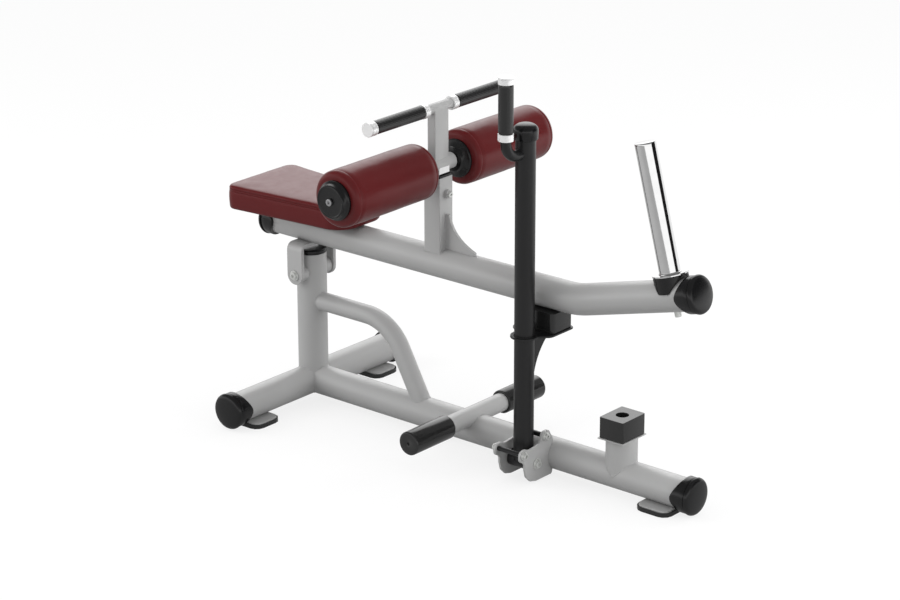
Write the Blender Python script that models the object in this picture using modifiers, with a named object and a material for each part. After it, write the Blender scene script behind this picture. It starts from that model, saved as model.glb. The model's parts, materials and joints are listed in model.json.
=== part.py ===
"""Seated calf raise machine, in metres: +Z up, +X towards the weight horn, +Y to the user's left.
The origin lies on the floor, at the middle of the machine's bounding box."""

import math

import bpy
import bmesh
from mathutils import Matrix, Vector

# Overall places: X is counted from the rear post and Z from the floor
POST_X = -0.5155  # where the rear post stands in the machine's own frame
GAP = 0.0003  # kept between pieces that touch

# Main round tubes
TUBE_R = 0.0381
WALL = 0.003
BASE_Z = 0.050
BASE_END = 1.199
CROSS_HALF = 0.312
POST_TOP = 0.391

# Moulded end cap, measured back from its crown
CAP_SLEEVE_R = 0.0445
CAP_HEAD_R = 0.0461
CAP_CREASE = 0.0250
CAP_FACE = 0.0112  # how far the nearly flat face lies back from a cap's reference point
CAP_TONGUE = 0.065
CAP_BACK = 0.045
BASE_CROWN = 1.222
CROSS_CROWN = 0.335

# Feet
FOOT_PLATE = (0.004, 0.0136)  # bottom and top, the top let into the tube's wall
FOOT_FRONT = (1.1115, 0.087, 0.108)  # X of the middle, length, width
FOOT_REAR = (0.2265, 0.106, 0.083)  # Y of the middle, length in X, width in Y
FOOT_CORNER = 0.020
PAD_RIM = 0.004

# Brace between the rear post and the base tube
BRACE_R = 0.02375
BRACE_Z = 0.264
BRACE_CORNER_X = 0.261
BRACE_BEND = 0.125
BRACE_TILT = math.radians(28.8)

# Foot rest bar
BAR_X = 0.534
BAR_Z = 0.084
BAR_R = 0.0232
BAR_HALF = 0.2435
BAR_SLEEVE_R = 0.0297
BAR_SLEEVE = (0.105, 0.247)

# Stop post under the weight end of the arm
STOP_X = 0.9855
STOP_FLANGE = (0.0745, 0.0945, 0.0025)
STOP_BASE = 0.1447
STOP_TOP = 0.1993
STOP_BLOCK = (0.0693, 0.0880)
STOP_CORNER = 0.0040
STOP_HOLE_R = 0.0155
STOP_HOLE_FLOOR = 0.018
STOP_BOLT_R = 0.005

# Pivot of the arm on the rear post
PIVOT_Z = 0.342
HUB_R = 0.0215
HUB_HALF = 0.0535
PIN_R = 0.0080
PIN_WASHER = (0.0135, 0.0025, 0.0090)  # radius, thickness, radius of the head on it
BUSH_R = 0.0125
STRAP_OUT = 0.064
STRAP_THICK = 0.010
STRAP_HALF = 0.025
STRAP_TOP = 0.425
STRAP_BEND = 0.018
STRAP_INNER_BEND = 0.003

# Arm tube
ARM_Z = 0.4559
ARM_BEND_X = 0.8512
ARM_RISE = math.radians(14.9)
ARM_BEND_R = 0.210
ARM_REAR = -0.1365
ARM_REAR_CROWN = -0.1595
ARM_FRONT = 0.357  # along the raised stretch, from the bend
ARM_FRONT_CROWN = 0.380

# Weight horn, square to the raised stretch
HORN_ALONG = 0.285
HORN_R = 0.0247
HORN_TOP = 0.3600  # above the arm's axis
HORN_FLANGE = 0.0506
HORN_FLANGE_R = 0.0425
FLANGE_THICK = 0.0032
SADDLE_LOW = 0.0115
SADDLE_R = 0.0415
HORN_STUD_R = 0.008
HORN_STUD_TAIL = 0.050
DRAIN_R = 0.0025  # vent hole through the flange, inside the horn

# Seat
SEAT_REAR = -0.1826
SEAT_FRONT = 0.185
SEAT_REAR_HALF = 0.1235
SEAT_TAPER = 0.102  # half width lost for each metre forward
SEAT_BOTTOM = 0.4982
SEAT_TOP = 0.5600
SEAT_PLATE_THICK = 0.0035
SEAT_PLATE = (-0.105, 0.150, 0.065)  # rear, front, half width
SEAT_CORNERS = (0.028, 0.060)

# Upright and the sliding carriage
UPRIGHT_X = 0.421
UPRIGHT_SIDE = 0.050
UPRIGHT_TOP = 0.676
SLIDE_SIDE = 0.0400
SLIDE_BOTTOM = 0.505
COLLAR_THICK = 0.006
ROLLER_Z = 0.703
STUB_R = 0.020
STUB_HALF = 0.047
FLAT_TUBE = (0.025, 0.050)
FLAT_WALL = 0.0025
HANDLE_Z = 0.846
HANDLE_R = 0.0125
BAR_PROUD = 0.0001  # how far the bar stands past the flat tube's faces
HANDLE_HALF = 0.2515
GRIP_R = 0.0167
GRIP_SPAN = (0.061, 0.233)
COLLAR_R = 0.0175
COLLAR_LENGTH = 0.0165
BOSS_Z = 0.634
BOSS_R = 0.011
CLAMP_R = 0.0040
CLAMP_ROOM = 0.0005

# Thigh rollers
ROLLER_R = 0.069
ROLLER_SPAN = (0.0695, 0.367)
ROLLER_EDGE = 0.012
AXLE_R = 0.0125
AXLE_SCREW_R = 0.0085
CORE_R = 0.024
HUB_DISC_R = 0.048
HUB_FACE_R = 0.040
HUB_DEPTH = 0.019

# Safety lever and its bracket
LEVER_X = 0.754
LEVER_Y = -0.0808
LEVER_Z = 0.0497
LEVER_R = 0.02415
LEVER_HUB_R = 0.021
LEVER_HUB_HALF = 0.0342
LEVER_TOP = 0.8742
PLATE_INNER = 0.0350
PLATE_THICK = 0.006
INNER_ROD = (-0.0499, 0.1115)  # Y, Z
OUTER_ROD = (-0.1320, 0.0860)
ROD_R = 0.0060
STOP_WASHER = (0.0105, 0.0040, 0.0073)  # radius, thickness, radius of the head on it
LOBE_R = 0.0130
REST_X = 0.750
SHELF_Z = (0.3630, 0.3676)
SHELF_HALF = 0.0600
SHELF_INNER = 0.042
SHELF_DISC_R = 0.0335
REST_BLOCK = (0.112, 0.076, 0.0496)
REST_CORNER = 0.010
CAP_R = 0.0298
CAP_RIM = 0.8492
CAP_TOP = 0.8872
J_R = 0.0128
J_Z = 0.8162
J_Y = -0.1538
J_BEND = 0.0405
J_GRIP = (0.8782, 0.9952)
J_COLLAR = 0.017
J_GRIP_R = 0.0178
J_COLLAR_R = 0.0185

SIDES = 24
SMALL_SIDES = 12
BAR_SIDES = 16
SMOOTH = math.radians(35)

UP = Vector((0, 0, 1))
SIDES_OF_MACHINE = (("near", -1), ("far", 1))


def at(x, y, z):
    """A place from the rear post's foot: X ahead of it, Y to the user's left, Z above the floor."""
    return Vector((x + POST_X, y, z))


def arm_point(along, lift=0.0, side=0.0):
    """A place on the raised stretch of the arm: along it from the bend, and above its axis."""
    forward = Vector((math.cos(ARM_RISE), 0, math.sin(ARM_RISE)))
    above = Vector((-math.sin(ARM_RISE), 0, math.cos(ARM_RISE)))
    return at(ARM_BEND_X, side, ARM_Z) + forward * along + above * lift


def arm_frame(along, lift=0.0):
    """The raised stretch's own frame: X along it, Z square to it."""
    return Matrix.Translation(arm_point(along, lift)) @ Matrix.Rotation(-ARM_RISE, 4, "Y")


def clear_scene():
    for obj in list(bpy.data.objects):
        bpy.data.objects.remove(obj)


def make_collection(name, hidden=False):
    collection = bpy.data.collections.new(name)
    bpy.context.scene.collection.children.link(collection)
    collection.hide_render = hidden
    return collection


def make_material(name, colour, roughness, metallic=0.0):
    material = bpy.data.materials.new(name)
    material.use_nodes = True
    shader = material.node_tree.nodes["Principled BSDF"]
    shader.inputs["Base Color"].default_value = (*colour, 1)
    shader.inputs["Roughness"].default_value = roughness
    shader.inputs["Metallic"].default_value = metallic
    material.diffuse_color = (*colour, 1)
    return material


clear_scene()
PARTS = make_collection("seated_calf_raise_machine")
CUTTERS = make_collection("cutters", hidden=True)
PAINT = make_material("silver_paint", (0.38, 0.38, 0.37), 0.42, 0.2)
BLACK_PAINT = make_material("black_paint", (0.022, 0.022, 0.023), 0.4, 0.1)
PLASTIC = make_material("black_plastic", (0.012, 0.012, 0.013), 0.3)
RUBBER = make_material("black_rubber", (0.018, 0.018, 0.018), 0.75)
VINYL = make_material("maroon_vinyl", (0.13, 0.016, 0.02), 0.42)
CHROME = make_material("chrome", (0.78, 0.78, 0.78), 0.06, 1.0)
ALUMINIUM = make_material("bright_aluminium", (0.82, 0.82, 0.82), 0.22, 1.0)
ZINC = make_material("zinc_plating", (0.62, 0.63, 0.60), 0.35, 0.9)
STEEL = make_material("plain_steel", (0.45, 0.45, 0.46), 0.4, 0.9)


def link(obj, material=None):
    """Puts an object among the parts, or among the cutters when it has no material."""
    if material is None:
        CUTTERS.objects.link(obj)
        obj.hide_render = True
        obj.display_type = "WIRE"
        return obj
    PARTS.objects.link(obj)
    obj.data.materials.clear()
    obj.data.materials.append(material)
    return obj


def facing(direction):
    """The turn that takes +Z to a direction."""
    return Vector(direction).to_track_quat("Z", "Y").to_matrix().to_4x4()


def baked(obj):
    """The object with its modifiers applied, or a curve made a mesh, under the same name and place."""
    bpy.context.view_layer.update()
    graph = bpy.context.evaluated_depsgraph_get()
    mesh = bpy.data.meshes.new_from_object(obj.evaluated_get(graph))
    shape = bmesh.new()
    shape.from_mesh(mesh)
    bmesh.ops.remove_doubles(shape, verts=shape.verts, dist=0.00001)
    bmesh.ops.recalc_face_normals(shape, faces=shape.faces)
    shape.to_mesh(mesh)
    shape.free()
    name = obj.name
    place = obj.matrix_world.copy()
    collection = obj.users_collection[0]
    hidden = obj.hide_render
    bpy.data.objects.remove(obj)
    solid = bpy.data.objects.new(name, mesh)
    solid.matrix_world = place
    collection.objects.link(solid)
    solid.hide_render = hidden
    solid.display_type = "WIRE" if hidden else "TEXTURED"
    return solid


def smooth(obj):
    obj.data.shade_smooth()
    obj.data.set_sharp_from_angle(angle=SMOOTH)
    return obj


def turned(name, profile, start, direction, material=None, sides=SIDES, ring=False):
    """A profile of (radius, height) points, down its outer side, turned about a line from start."""
    mesh = bpy.data.meshes.new(name)
    edges = [(i, i + 1) for i in range(len(profile) - 1)]
    if ring:
        edges.append((len(profile) - 1, 0))
    mesh.from_pydata([(radius, 0, height) for radius, height in profile], edges, [])
    obj = bpy.data.objects.new(name, mesh)
    obj.matrix_world = Matrix.Translation(start) @ facing(direction)
    screw = obj.modifiers.new("Turn", "SCREW")
    screw.steps = screw.render_steps = sides
    screw.use_merge_vertices = True
    screw.merge_threshold = 0.00001
    link(obj, material)
    return smooth(baked(obj))


def rod(name, start, end, radius, material=None, sides=SIDES):
    along = Vector(end) - Vector(start)
    profile = [(0, along.length), (radius, along.length), (radius, 0), (0, 0)]
    return turned(name, profile, start, along, material, sides)


def pipe(name, start, end, radius, wall, material=None, sides=SIDES):
    along = Vector(end) - Vector(start)
    inner = radius - wall
    profile = [(radius, along.length), (radius, 0), (inner, 0), (inner, along.length)]
    return turned(name, profile, start, along, material, sides, ring=True)


def block(name, size, centre, material=None, place=None):
    """A box with its scale applied, about a centre or in a frame of its own."""
    mesh = bpy.data.meshes.new(name)
    shape = bmesh.new()
    bmesh.ops.create_cube(shape, size=1, matrix=Matrix.Diagonal((*size, 1)))
    shape.to_mesh(mesh)
    shape.free()
    obj = bpy.data.objects.new(name, mesh)
    obj.matrix_world = Matrix.Translation(centre) if place is None else place
    return link(obj, material)


def rounded_outline(corners, steps=6):
    """Points round a flat outline: each corner is (x, y, radius)."""
    points = []
    count = len(corners)
    for i, (x, y, radius) in enumerate(corners):
        corner = Vector((x, y))
        before = (Vector(corners[i - 1][:2]) - corner).normalized()
        after = (Vector(corners[(i + 1) % count][:2]) - corner).normalized()
        if radius == 0:
            points.append(corner)
            continue
        half = before.angle(after) / 2
        reach = radius / math.tan(half)
        centre = corner + (before + after).normalized() * radius / math.sin(half)
        first = corner + before * reach - centre
        last = corner + after * reach - centre
        swing = first.angle_signed(last)
        for step in range(steps + 1):
            points.append(centre + Matrix.Rotation(-swing * step / steps, 2) @ first)
    return points


def plate(name, points, thickness, place, material=None):
    """A flat outline, thickened evenly about its own plane, in the given frame."""
    curve = bpy.data.curves.new(name, "CURVE")
    curve.dimensions = "2D"
    curve.fill_mode = "BOTH"
    curve.extrude = thickness / 2
    spline = curve.splines.new("POLY")
    spline.points.add(len(points) - 1)
    for target, point in zip(spline.points, points):
        target.co = (point[0], point[1], 0, 1)
    spline.use_cyclic_u = True
    obj = bpy.data.objects.new(name, curve)
    obj.matrix_world = place
    link(obj, material)
    return smooth(baked(obj))


def bent_route(points, radii, steps=6):
    """A line through points in one plane, its inner corners rounded to the given radii."""
    route = [Vector(points[0])]
    for i in range(1, len(points) - 1):
        corner = Vector(points[i])
        before = (Vector(points[i - 1]) - corner).normalized()
        after = (Vector(points[i + 1]) - corner).normalized()
        half = before.angle(after) / 2
        radius = radii[i - 1]
        centre = corner + (before + after).normalized() * radius / math.sin(half)
        first = corner + before * radius / math.tan(half) - centre
        turn = math.pi - 2 * half
        axis = before.cross(after).normalized()
        for step in range(steps + 1):
            route.append(centre + Matrix.Rotation(-turn * step / steps, 3, axis) @ first)
    route.append(Vector(points[-1]))
    return route


def bent_rod(name, route, radius, material=None, resolution=10):
    """A round bar along a route, with filled ends."""
    curve = bpy.data.curves.new(name, "CURVE")
    curve.dimensions = "3D"
    curve.bevel_depth = radius
    curve.bevel_resolution = resolution
    curve.use_fill_caps = True
    spline = curve.splines.new("POLY")
    spline.points.add(len(route) - 1)
    for target, point in zip(spline.points, route):
        target.co = (*point, 1)
    obj = bpy.data.objects.new(name, curve)
    link(obj, material)
    return smooth(baked(obj))


def combine(obj, other, operation="DIFFERENCE"):
    """Cuts an object with another, or joins or crosses them, and keeps the result as its mesh."""
    boolean = obj.modifiers.new("Combine", "BOOLEAN")
    boolean.operation = operation
    boolean.object = other
    boolean.solver = "EXACT"
    result = baked(obj)
    bpy.data.objects.remove(other)
    return smooth(result)


def bevelled(obj, width, segments=2, axis=None):
    """Rounds an object's edges: all of them, or only those along one of its own axes."""
    bevel = obj.modifiers.new("Round", "BEVEL")
    bevel.width = width
    bevel.segments = segments
    bevel.limit_method = "WEIGHT"
    weights = obj.data.attributes.new("bevel_weight_edge", "FLOAT", "EDGE")
    for edge in obj.data.edges:
        a, b = (obj.data.vertices[i].co for i in edge.vertices)
        along = (a - b).normalized()
        weights.data[edge.index].value = 1.0 if axis is None or abs(along[axis]) > 0.99 else 0.0
    return smooth(baked(obj))


def across_frame(x):
    """A frame whose flat plane faces along X: its x is the machine's Y and its y the machine's Z."""
    turn = Matrix(((0, 0, 1, 0), (1, 0, 0, 0), (0, 1, 0, 0), (0, 0, 0, 1)))
    return Matrix.Translation(at(x, 0, 0)) @ turn


def side_frame(y):
    """A frame whose flat plane faces along Y: its x runs ahead of the post and its y is height."""
    turn = Matrix(((1, 0, 0, 0), (0, 0, -1, 0), (0, 1, 0, 0), (0, 0, 0, 1)))
    return Matrix.Translation(at(0, y, 0)) @ turn


def flat_frame(z):
    """A frame lying flat: its x runs ahead of the post and its y to the user's left."""
    return Matrix.Translation(at(0, 0, z))


def cut_rod(start, end, radius, sides=SIDES):
    return rod("cutter", start, end, radius, None, sides)


def cut_base(obj):
    """Copes an object over the base tube."""
    return combine(obj, cut_rod(at(0, 0, BASE_Z), at(1.4, 0, BASE_Z), TUBE_R + GAP))


def cut_cross(obj):
    """Copes an object over the rear cross tube."""
    return combine(obj, cut_rod(at(0, -0.4, BASE_Z), at(0, 0.4, BASE_Z), TUBE_R + GAP))


def cut_arm(obj):
    """Copes an object over the level stretch of the arm."""
    return combine(obj, cut_rod(at(-0.3, 0, ARM_Z), at(0.82, 0, ARM_Z), TUBE_R + GAP))


def screw_head(name, seat, direction, radius, height, material=ZINC):
    """A socket cap head on a seat, its rim a little broken."""
    rim = 0.0010
    profile = [(0, height), (radius - rim, height), (radius, height - rim), (radius, 0), (0, 0)]
    head = turned(name, profile, seat, direction, material, SMALL_SIDES)
    along = Vector(direction).normalized()
    socket = rod("cutter", seat + along * height * 0.45, seat + along * height * 2, radius * 0.42, sides=6)
    return combine(head, socket)


def end_cap(name, crown, direction, sides_axis):
    """A moulded cap whose sleeve reaches further back on two sides, in points."""
    back = [
        (0, -CAP_FACE),
        (0.0370, -CAP_FACE - 0.0036),
        (0.0440, -CAP_FACE - 0.0066),
        (CAP_HEAD_R, -CAP_FACE - 0.0120),
        (CAP_HEAD_R, -CAP_CREASE),
        (CAP_SLEEVE_R, -CAP_CREASE - 0.0010),
        (CAP_SLEEVE_R, -CAP_TONGUE),
        (TUBE_R + GAP, -CAP_TONGUE),
        (TUBE_R + GAP, -0.0228),
        (0, -0.0228),
    ]
    cap = turned(name, back, crown, direction, PLASTIC)
    forward = Vector(direction).normalized()
    side = Vector(sides_axis).normalized()
    height = side.cross(forward)
    notch = [
        (-CAP_TONGUE - 0.002, 0.0040),
        (-CAP_TONGUE + 0.0004, 0.0040),
        (-CAP_TONGUE + 0.0020, 0.0090),
        (-CAP_TONGUE + 0.0052, 0.0160),
        (-CAP_BACK - 0.0065, 0.0300),
        (-CAP_BACK, 0.0500),
        (-CAP_TONGUE - 0.002, 0.0500),
    ]
    for sign in (1, -1):
        frame = Matrix((forward, height * sign, forward.cross(height * sign))).transposed().to_4x4()
        frame.translation = crown
        cap = combine(cap, plate("cutter", notch, 0.12, frame))
    return cap


def build_base():
    base = pipe("base_tube", at(0, 0, BASE_Z), at(BASE_END, 0, BASE_Z), TUBE_R, WALL, PAINT)
    bar_hole = cut_rod(at(BAR_X, -0.1, BAR_Z), at(BAR_X, 0.1, BAR_Z), BAR_R + GAP)
    base = combine(cut_cross(base), bar_hole)
    x, length, width = FOOT_FRONT
    combine(base, foot_slab("foot", x, 0, length, width, *FOOT_PLATE, FOOT_CORNER), "UNION")


def build_cross():
    ends = (at(0, -CROSS_HALF, BASE_Z), at(0, CROSS_HALF, BASE_Z))
    cross = pipe("rear_cross_tube", *ends, TUBE_R, WALL, PAINT)
    y, length, width = FOOT_REAR
    for _, sign in SIDES_OF_MACHINE:
        foot = foot_slab("foot", 0, sign * y, length, width, *FOOT_PLATE, FOOT_CORNER)
        cross = combine(cross, foot, "UNION")


def build_post():
    """The rear post with the hub tube welded through it, its bush, and the plug in its top."""
    post = pipe("rear_post", at(0, 0, BASE_Z), at(0, 0, POST_TOP), TUBE_R, WALL, PAINT)
    post = cut_cross(cut_base(post))
    ends = (at(0, -HUB_HALF, PIVOT_Z), at(0, HUB_HALF, PIVOT_Z))
    post = combine(post, rod("hub", *ends, HUB_R), "UNION")
    combine(post, cut_rod(at(0, -0.1, PIVOT_Z), at(0, 0.1, PIVOT_Z), BUSH_R + GAP))
    half = Vector((0, HUB_HALF - GAP, 0))
    middle = at(0, 0, PIVOT_Z)
    pipe("pivot_bush", middle - half, middle + half, BUSH_R, BUSH_R - PIN_R - GAP, STEEL, BAR_SIDES)
    inner = TUBE_R - WALL - GAP
    plug = [
        (0, 0.0115),
        (0.034, 0.0112),
        (0.0368, 0.0103),
        (TUBE_R, 0.0082),
        (TUBE_R, GAP),
        (inner, GAP),
        (inner, -0.018),
        (0, -0.018),
    ]
    turned("post_plug", plug, at(0, 0, POST_TOP), UP, PLASTIC)


def build_brace():
    drop = Vector((math.sin(BRACE_TILT), 0, -math.cos(BRACE_TILT)))
    corner = at(BRACE_CORNER_X, 0, BRACE_Z)
    route = bent_route([at(0.010, 0, BRACE_Z), corner, corner + drop * 0.235], [BRACE_BEND])
    brace = bent_rod("brace_tube", route, BRACE_R, PAINT, 8)
    beyond = bent_route([at(0.0, 0, BRACE_Z), corner, corner + drop * 0.250], [BRACE_BEND])
    hollow = bent_rod("cutter", beyond, BRACE_R - 0.0025, None, 8)
    post = cut_rod(at(0, 0, 0.1), at(0, 0, 0.5), TUBE_R + GAP)
    combine(cut_base(combine(brace, hollow)), post)


def build_foot_bar():
    ends = (at(BAR_X, -BAR_HALF, BAR_Z), at(BAR_X, BAR_HALF, BAR_Z))
    pipe("foot_bar", *ends, BAR_R, 0.0025, PAINT)
    near, far = BAR_SLEEVE
    profile = [
        (0.004, far),
        (BAR_SLEEVE_R - 0.003, far),
        (BAR_SLEEVE_R, far - 0.003),
        (BAR_SLEEVE_R, near + 0.002),
        (BAR_SLEEVE_R - 0.002, near),
        (BAR_R + GAP, near),
        (BAR_R + GAP, BAR_HALF + GAP),
        (0.004, BAR_HALF + GAP),
    ]
    start = at(BAR_X, 0, BAR_Z)
    for side, sign in SIDES_OF_MACHINE:
        turned(side + "_foot_sleeve", profile, start, (0, sign, 0), RUBBER, ring=True)


def build_stop():
    """The stop post with its flange welded on, and the rubber block bolted down on it."""
    post = pipe("stop_post", at(STOP_X, 0, BASE_Z), at(STOP_X, 0, STOP_BASE), TUBE_R, WALL, PAINT)
    post = cut_base(post)
    thick = STOP_FLANGE[2]
    flange = block("flange", STOP_FLANGE, at(STOP_X, 0, STOP_BASE + thick / 2), None)
    post = combine(post, bevelled(flange, 0.002, 2, axis=2), "UNION")
    low = STOP_BASE + thick + GAP
    height = STOP_TOP - low
    body = block("stop_block", (*STOP_BLOCK, height), at(STOP_X, 0, low + height / 2), RUBBER)
    body = bevelled(body, STOP_CORNER, 3, axis=2)
    floor = at(STOP_X, 0, low + STOP_HOLE_FLOOR)
    body = combine(body, cut_rod(floor, floor + UP * 0.1, STOP_HOLE_R))
    bolt_hole = (floor - UP * 0.1, floor + UP * 0.01)
    combine(body, cut_rod(*bolt_hole, STOP_BOLT_R + GAP))
    combine(post, cut_rod(*bolt_hole, STOP_BOLT_R + GAP))
    seat = floor + UP * GAP
    head = screw_head("stop_block_bolt", seat, UP, 0.0105, 0.007)
    shank = rod("shank", seat - UP * 0.038, seat + UP * 0.001, STOP_BOLT_R, ZINC, SMALL_SIDES)
    combine(head, shank, "UNION")


def lobed_outline():
    """The bracket plate's outline, Y and Z above the floor, with a lobe round each stop rod."""
    inner_y, inner_z = INNER_ROD
    outer_y, outer_z = OUTER_ROD
    reach = LOBE_R
    return rounded_outline([
        (-0.018, 0.060, 0),
        (-0.020, inner_z - 0.014, 0.004),
        (inner_y + reach, inner_z + reach, reach * 0.95),
        (inner_y - reach, inner_z + reach, reach * 0.95),
        (inner_y - reach - 0.002, 0.0970, 0.012),
        (-0.108, 0.0925, 0.012),
        (outer_y + reach * 0.6, outer_z + reach, reach * 0.4),
        (outer_y - reach, outer_z + reach, reach * 0.95),
        (outer_y - reach, outer_z - reach, reach * 0.8),
        (-0.1265, 0.0635, 0.010),
        (-0.1255, 0.0060, 0.042),
        (-0.022, 0.0060, 0.006),
        (-0.018, 0.030, 0),
    ], 3)


def build_bracket():
    half = PLATE_INNER + PLATE_THICK
    holes = ((*INNER_ROD, ROD_R), (*OUTER_ROD, ROD_R), (LEVER_Y, LEVER_Z, PIN_R))
    for name, sign in (("rear_bracket_plate", -1), ("front_bracket_plate", 1)):
        x = LEVER_X + sign * (PLATE_INNER + PLATE_THICK / 2)
        shape = cut_base(plate(name, lobed_outline(), PLATE_THICK, across_frame(x), PAINT))
        for y, z, radius in holes:
            ends = (at(x - 0.02, y, z), at(x + 0.02, y, z))
            shape = combine(shape, cut_rod(*ends, radius + GAP, SMALL_SIDES))
    along = (1, 0, 0)
    through_bolt("inner_stop_bolt", at(LEVER_X, *INNER_ROD), along, half, ROD_R, STOP_WASHER)
    through_bolt("outer_stop_bolt", at(LEVER_X, *OUTER_ROD), along, half, ROD_R, STOP_WASHER)
    through_bolt("lever_pivot_bolt", at(LEVER_X, LEVER_Y, LEVER_Z), along, half, PIN_R, PIN_WASHER)


def through_bolt(name, middle, direction, half, radius, washer):
    """A bolt through two cheeks, with a washer and a button head at each end, as one solid."""
    along = Vector(direction).normalized()
    reach = half + GAP
    ends = (middle - along * (reach + 0.001), middle + along * (reach + 0.001))
    bolt = rod(name, *ends, radius, ZINC, SMALL_SIDES)
    disc_r, thick, head_r = washer
    for sign in (-1, 1):
        seat = middle + along * sign * reach
        disc = rod("washer", seat, seat + along * sign * thick, disc_r, None, BAR_SIDES)
        bolt = combine(bolt, disc, "UNION")
        base = seat + along * sign * (thick - 0.0005)
        head = screw_head("head", base, along * sign, head_r, 0.0058)
        bolt = combine(bolt, head, "UNION")
    return bolt


def build_foot_pads():
    x, length, width = FOOT_FRONT
    foot_pad("front_foot_pad", x, 0, length, width)
    y, length, width = FOOT_REAR
    for side, sign in SIDES_OF_MACHINE:
        foot_pad(side + "_foot_pad", 0, sign * y, length, width)


def foot_pad(name, x, y, length, width):
    """A rubber tray that holds a foot plate by its rim."""
    rim = 2 * PAD_RIM
    top = FOOT_PLATE[1] - 0.0030
    pad = foot_slab(name, x, y, length + rim, width + rim, 0, top, FOOT_CORNER + PAD_RIM, RUBBER)
    low = FOOT_PLATE[0] - GAP
    room = 2 * GAP
    pocket = foot_slab("cutter", x, y, length + room, width + room, low, 0.02, FOOT_CORNER + GAP)
    combine(pad, pocket)


def foot_slab(name, x, y, length, width, low, high, corner, material=None):
    corners = [(-length / 2, -width / 2, corner), (length / 2, -width / 2, corner)]
    corners += [(length / 2, width / 2, corner), (-length / 2, width / 2, corner)]
    frame = flat_frame((low + high) / 2) @ Matrix.Translation((x, y, 0))
    return plate(name, rounded_outline(corners, 3), high - low, frame, material)


def build_frame_caps():
    end_cap("base_end_cap", at(BASE_CROWN, 0, BASE_Z), (1, 0, 0), (0, 1, 0))
    for side, sign in SIDES_OF_MACHINE:
        crown = at(0, sign * CROSS_CROWN, BASE_Z)
        end_cap(side + "_cross_end_cap", crown, (0, sign, 0), (1, 0, 0))


def build_arm():
    corner = at(ARM_BEND_X, 0, ARM_Z)
    bend = [ARM_BEND_R]
    route = bent_route([at(ARM_REAR, 0, ARM_Z), corner, arm_point(ARM_FRONT)], bend, 4)
    arm = bent_rod("arm_tube", route, TUBE_R, PAINT)
    beyond = bent_route([at(ARM_REAR - 0.05, 0, ARM_Z), corner, arm_point(ARM_FRONT + 0.05)], bend, 4)
    arm = combine(arm, bent_rod("cutter", beyond, TUBE_R - WALL))
    stud = cut_rod(arm_point(HORN_ALONG, -0.1), arm_point(HORN_ALONG, 0.1), HORN_STUD_R + GAP)
    combine(arm, stud)
    forward = arm_point(1) - arm_point(0)
    end_cap("arm_rear_cap", at(ARM_REAR_CROWN, 0, ARM_Z), (-1, 0, 0), (0, 1, 0))
    end_cap("arm_front_cap", arm_point(ARM_FRONT_CROWN), forward, (0, 1, 0))


def build_clevis():
    """The strap bent over the arm's underside, crossed with the rounded outline of its two legs."""
    low = PIVOT_Z - STRAP_HALF
    inner = STRAP_OUT - STRAP_THICK
    corners = [
        (-STRAP_OUT, low - 0.01, 0),
        (-inner, low - 0.01, 0),
        (-inner, STRAP_TOP - STRAP_THICK, STRAP_INNER_BEND),
        (inner, STRAP_TOP - STRAP_THICK, STRAP_INNER_BEND),
        (inner, low - 0.01, 0),
        (STRAP_OUT, low - 0.01, 0),
        (STRAP_OUT, STRAP_TOP, STRAP_BEND),
        (-STRAP_OUT, STRAP_TOP, STRAP_BEND),
    ]
    strap = plate("pivot_clevis", rounded_outline(corners, 4), 0.08, across_frame(0), PAINT)
    legs = rounded_outline([
        (-STRAP_HALF, STRAP_TOP + 0.02, 0),
        (-STRAP_HALF, low, STRAP_HALF * 0.99),
        (STRAP_HALF, low, STRAP_HALF * 0.99),
        (STRAP_HALF, STRAP_TOP + 0.02, 0),
    ], 6)
    strap = combine(strap, plate("cutter", legs, 0.2, side_frame(0)), "INTERSECT")
    pin_hole = cut_rod(at(0, -0.1, PIVOT_Z), at(0, 0.1, PIVOT_Z), PIN_R + GAP, SMALL_SIDES)
    combine(cut_arm(strap), pin_hole)
    through_bolt("arm_pivot_bolt", at(0, 0, PIVOT_Z), (0, 1, 0), STRAP_OUT, PIN_R, PIN_WASHER)


def seat_outline(inset):
    """The seat's outline in plan, wider at the rear, drawn in evenly by an amount."""
    rear = SEAT_REAR + inset
    front = SEAT_FRONT - inset
    rear_half = SEAT_REAR_HALF - inset
    front_half = SEAT_REAR_HALF - SEAT_TAPER * (SEAT_FRONT - SEAT_REAR) - inset
    rear_corner = max(SEAT_CORNERS[0] - inset, 0.006)
    front_corner = max(SEAT_CORNERS[1] - inset, 0.010)
    return rounded_outline([
        (rear, -rear_half, rear_corner),
        (front, -front_half, front_corner),
        (front, front_half, front_corner),
        (rear, rear_half, rear_corner),
    ], 5)


def stacked(name, levels, outline, material):
    """A closed form through outlines at rising heights, each drawn in by its own amount."""
    shape = bmesh.new()
    rings = []
    for inset, height in levels:
        points = outline(inset)
        rings.append([shape.verts.new(at(x, y, height)) for x, y in points])
    for lower, upper in zip(rings, rings[1:]):
        for i in range(len(lower)):
            shape.faces.new((lower[i - 1], lower[i], upper[i], upper[i - 1]))
    shape.faces.new(reversed(rings[0]))
    shape.faces.new(rings[-1])
    bmesh.ops.recalc_face_normals(shape, faces=shape.faces)
    mesh = bpy.data.meshes.new(name)
    shape.to_mesh(mesh)
    shape.free()
    return smooth(link(bpy.data.objects.new(name, mesh), material))


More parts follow.
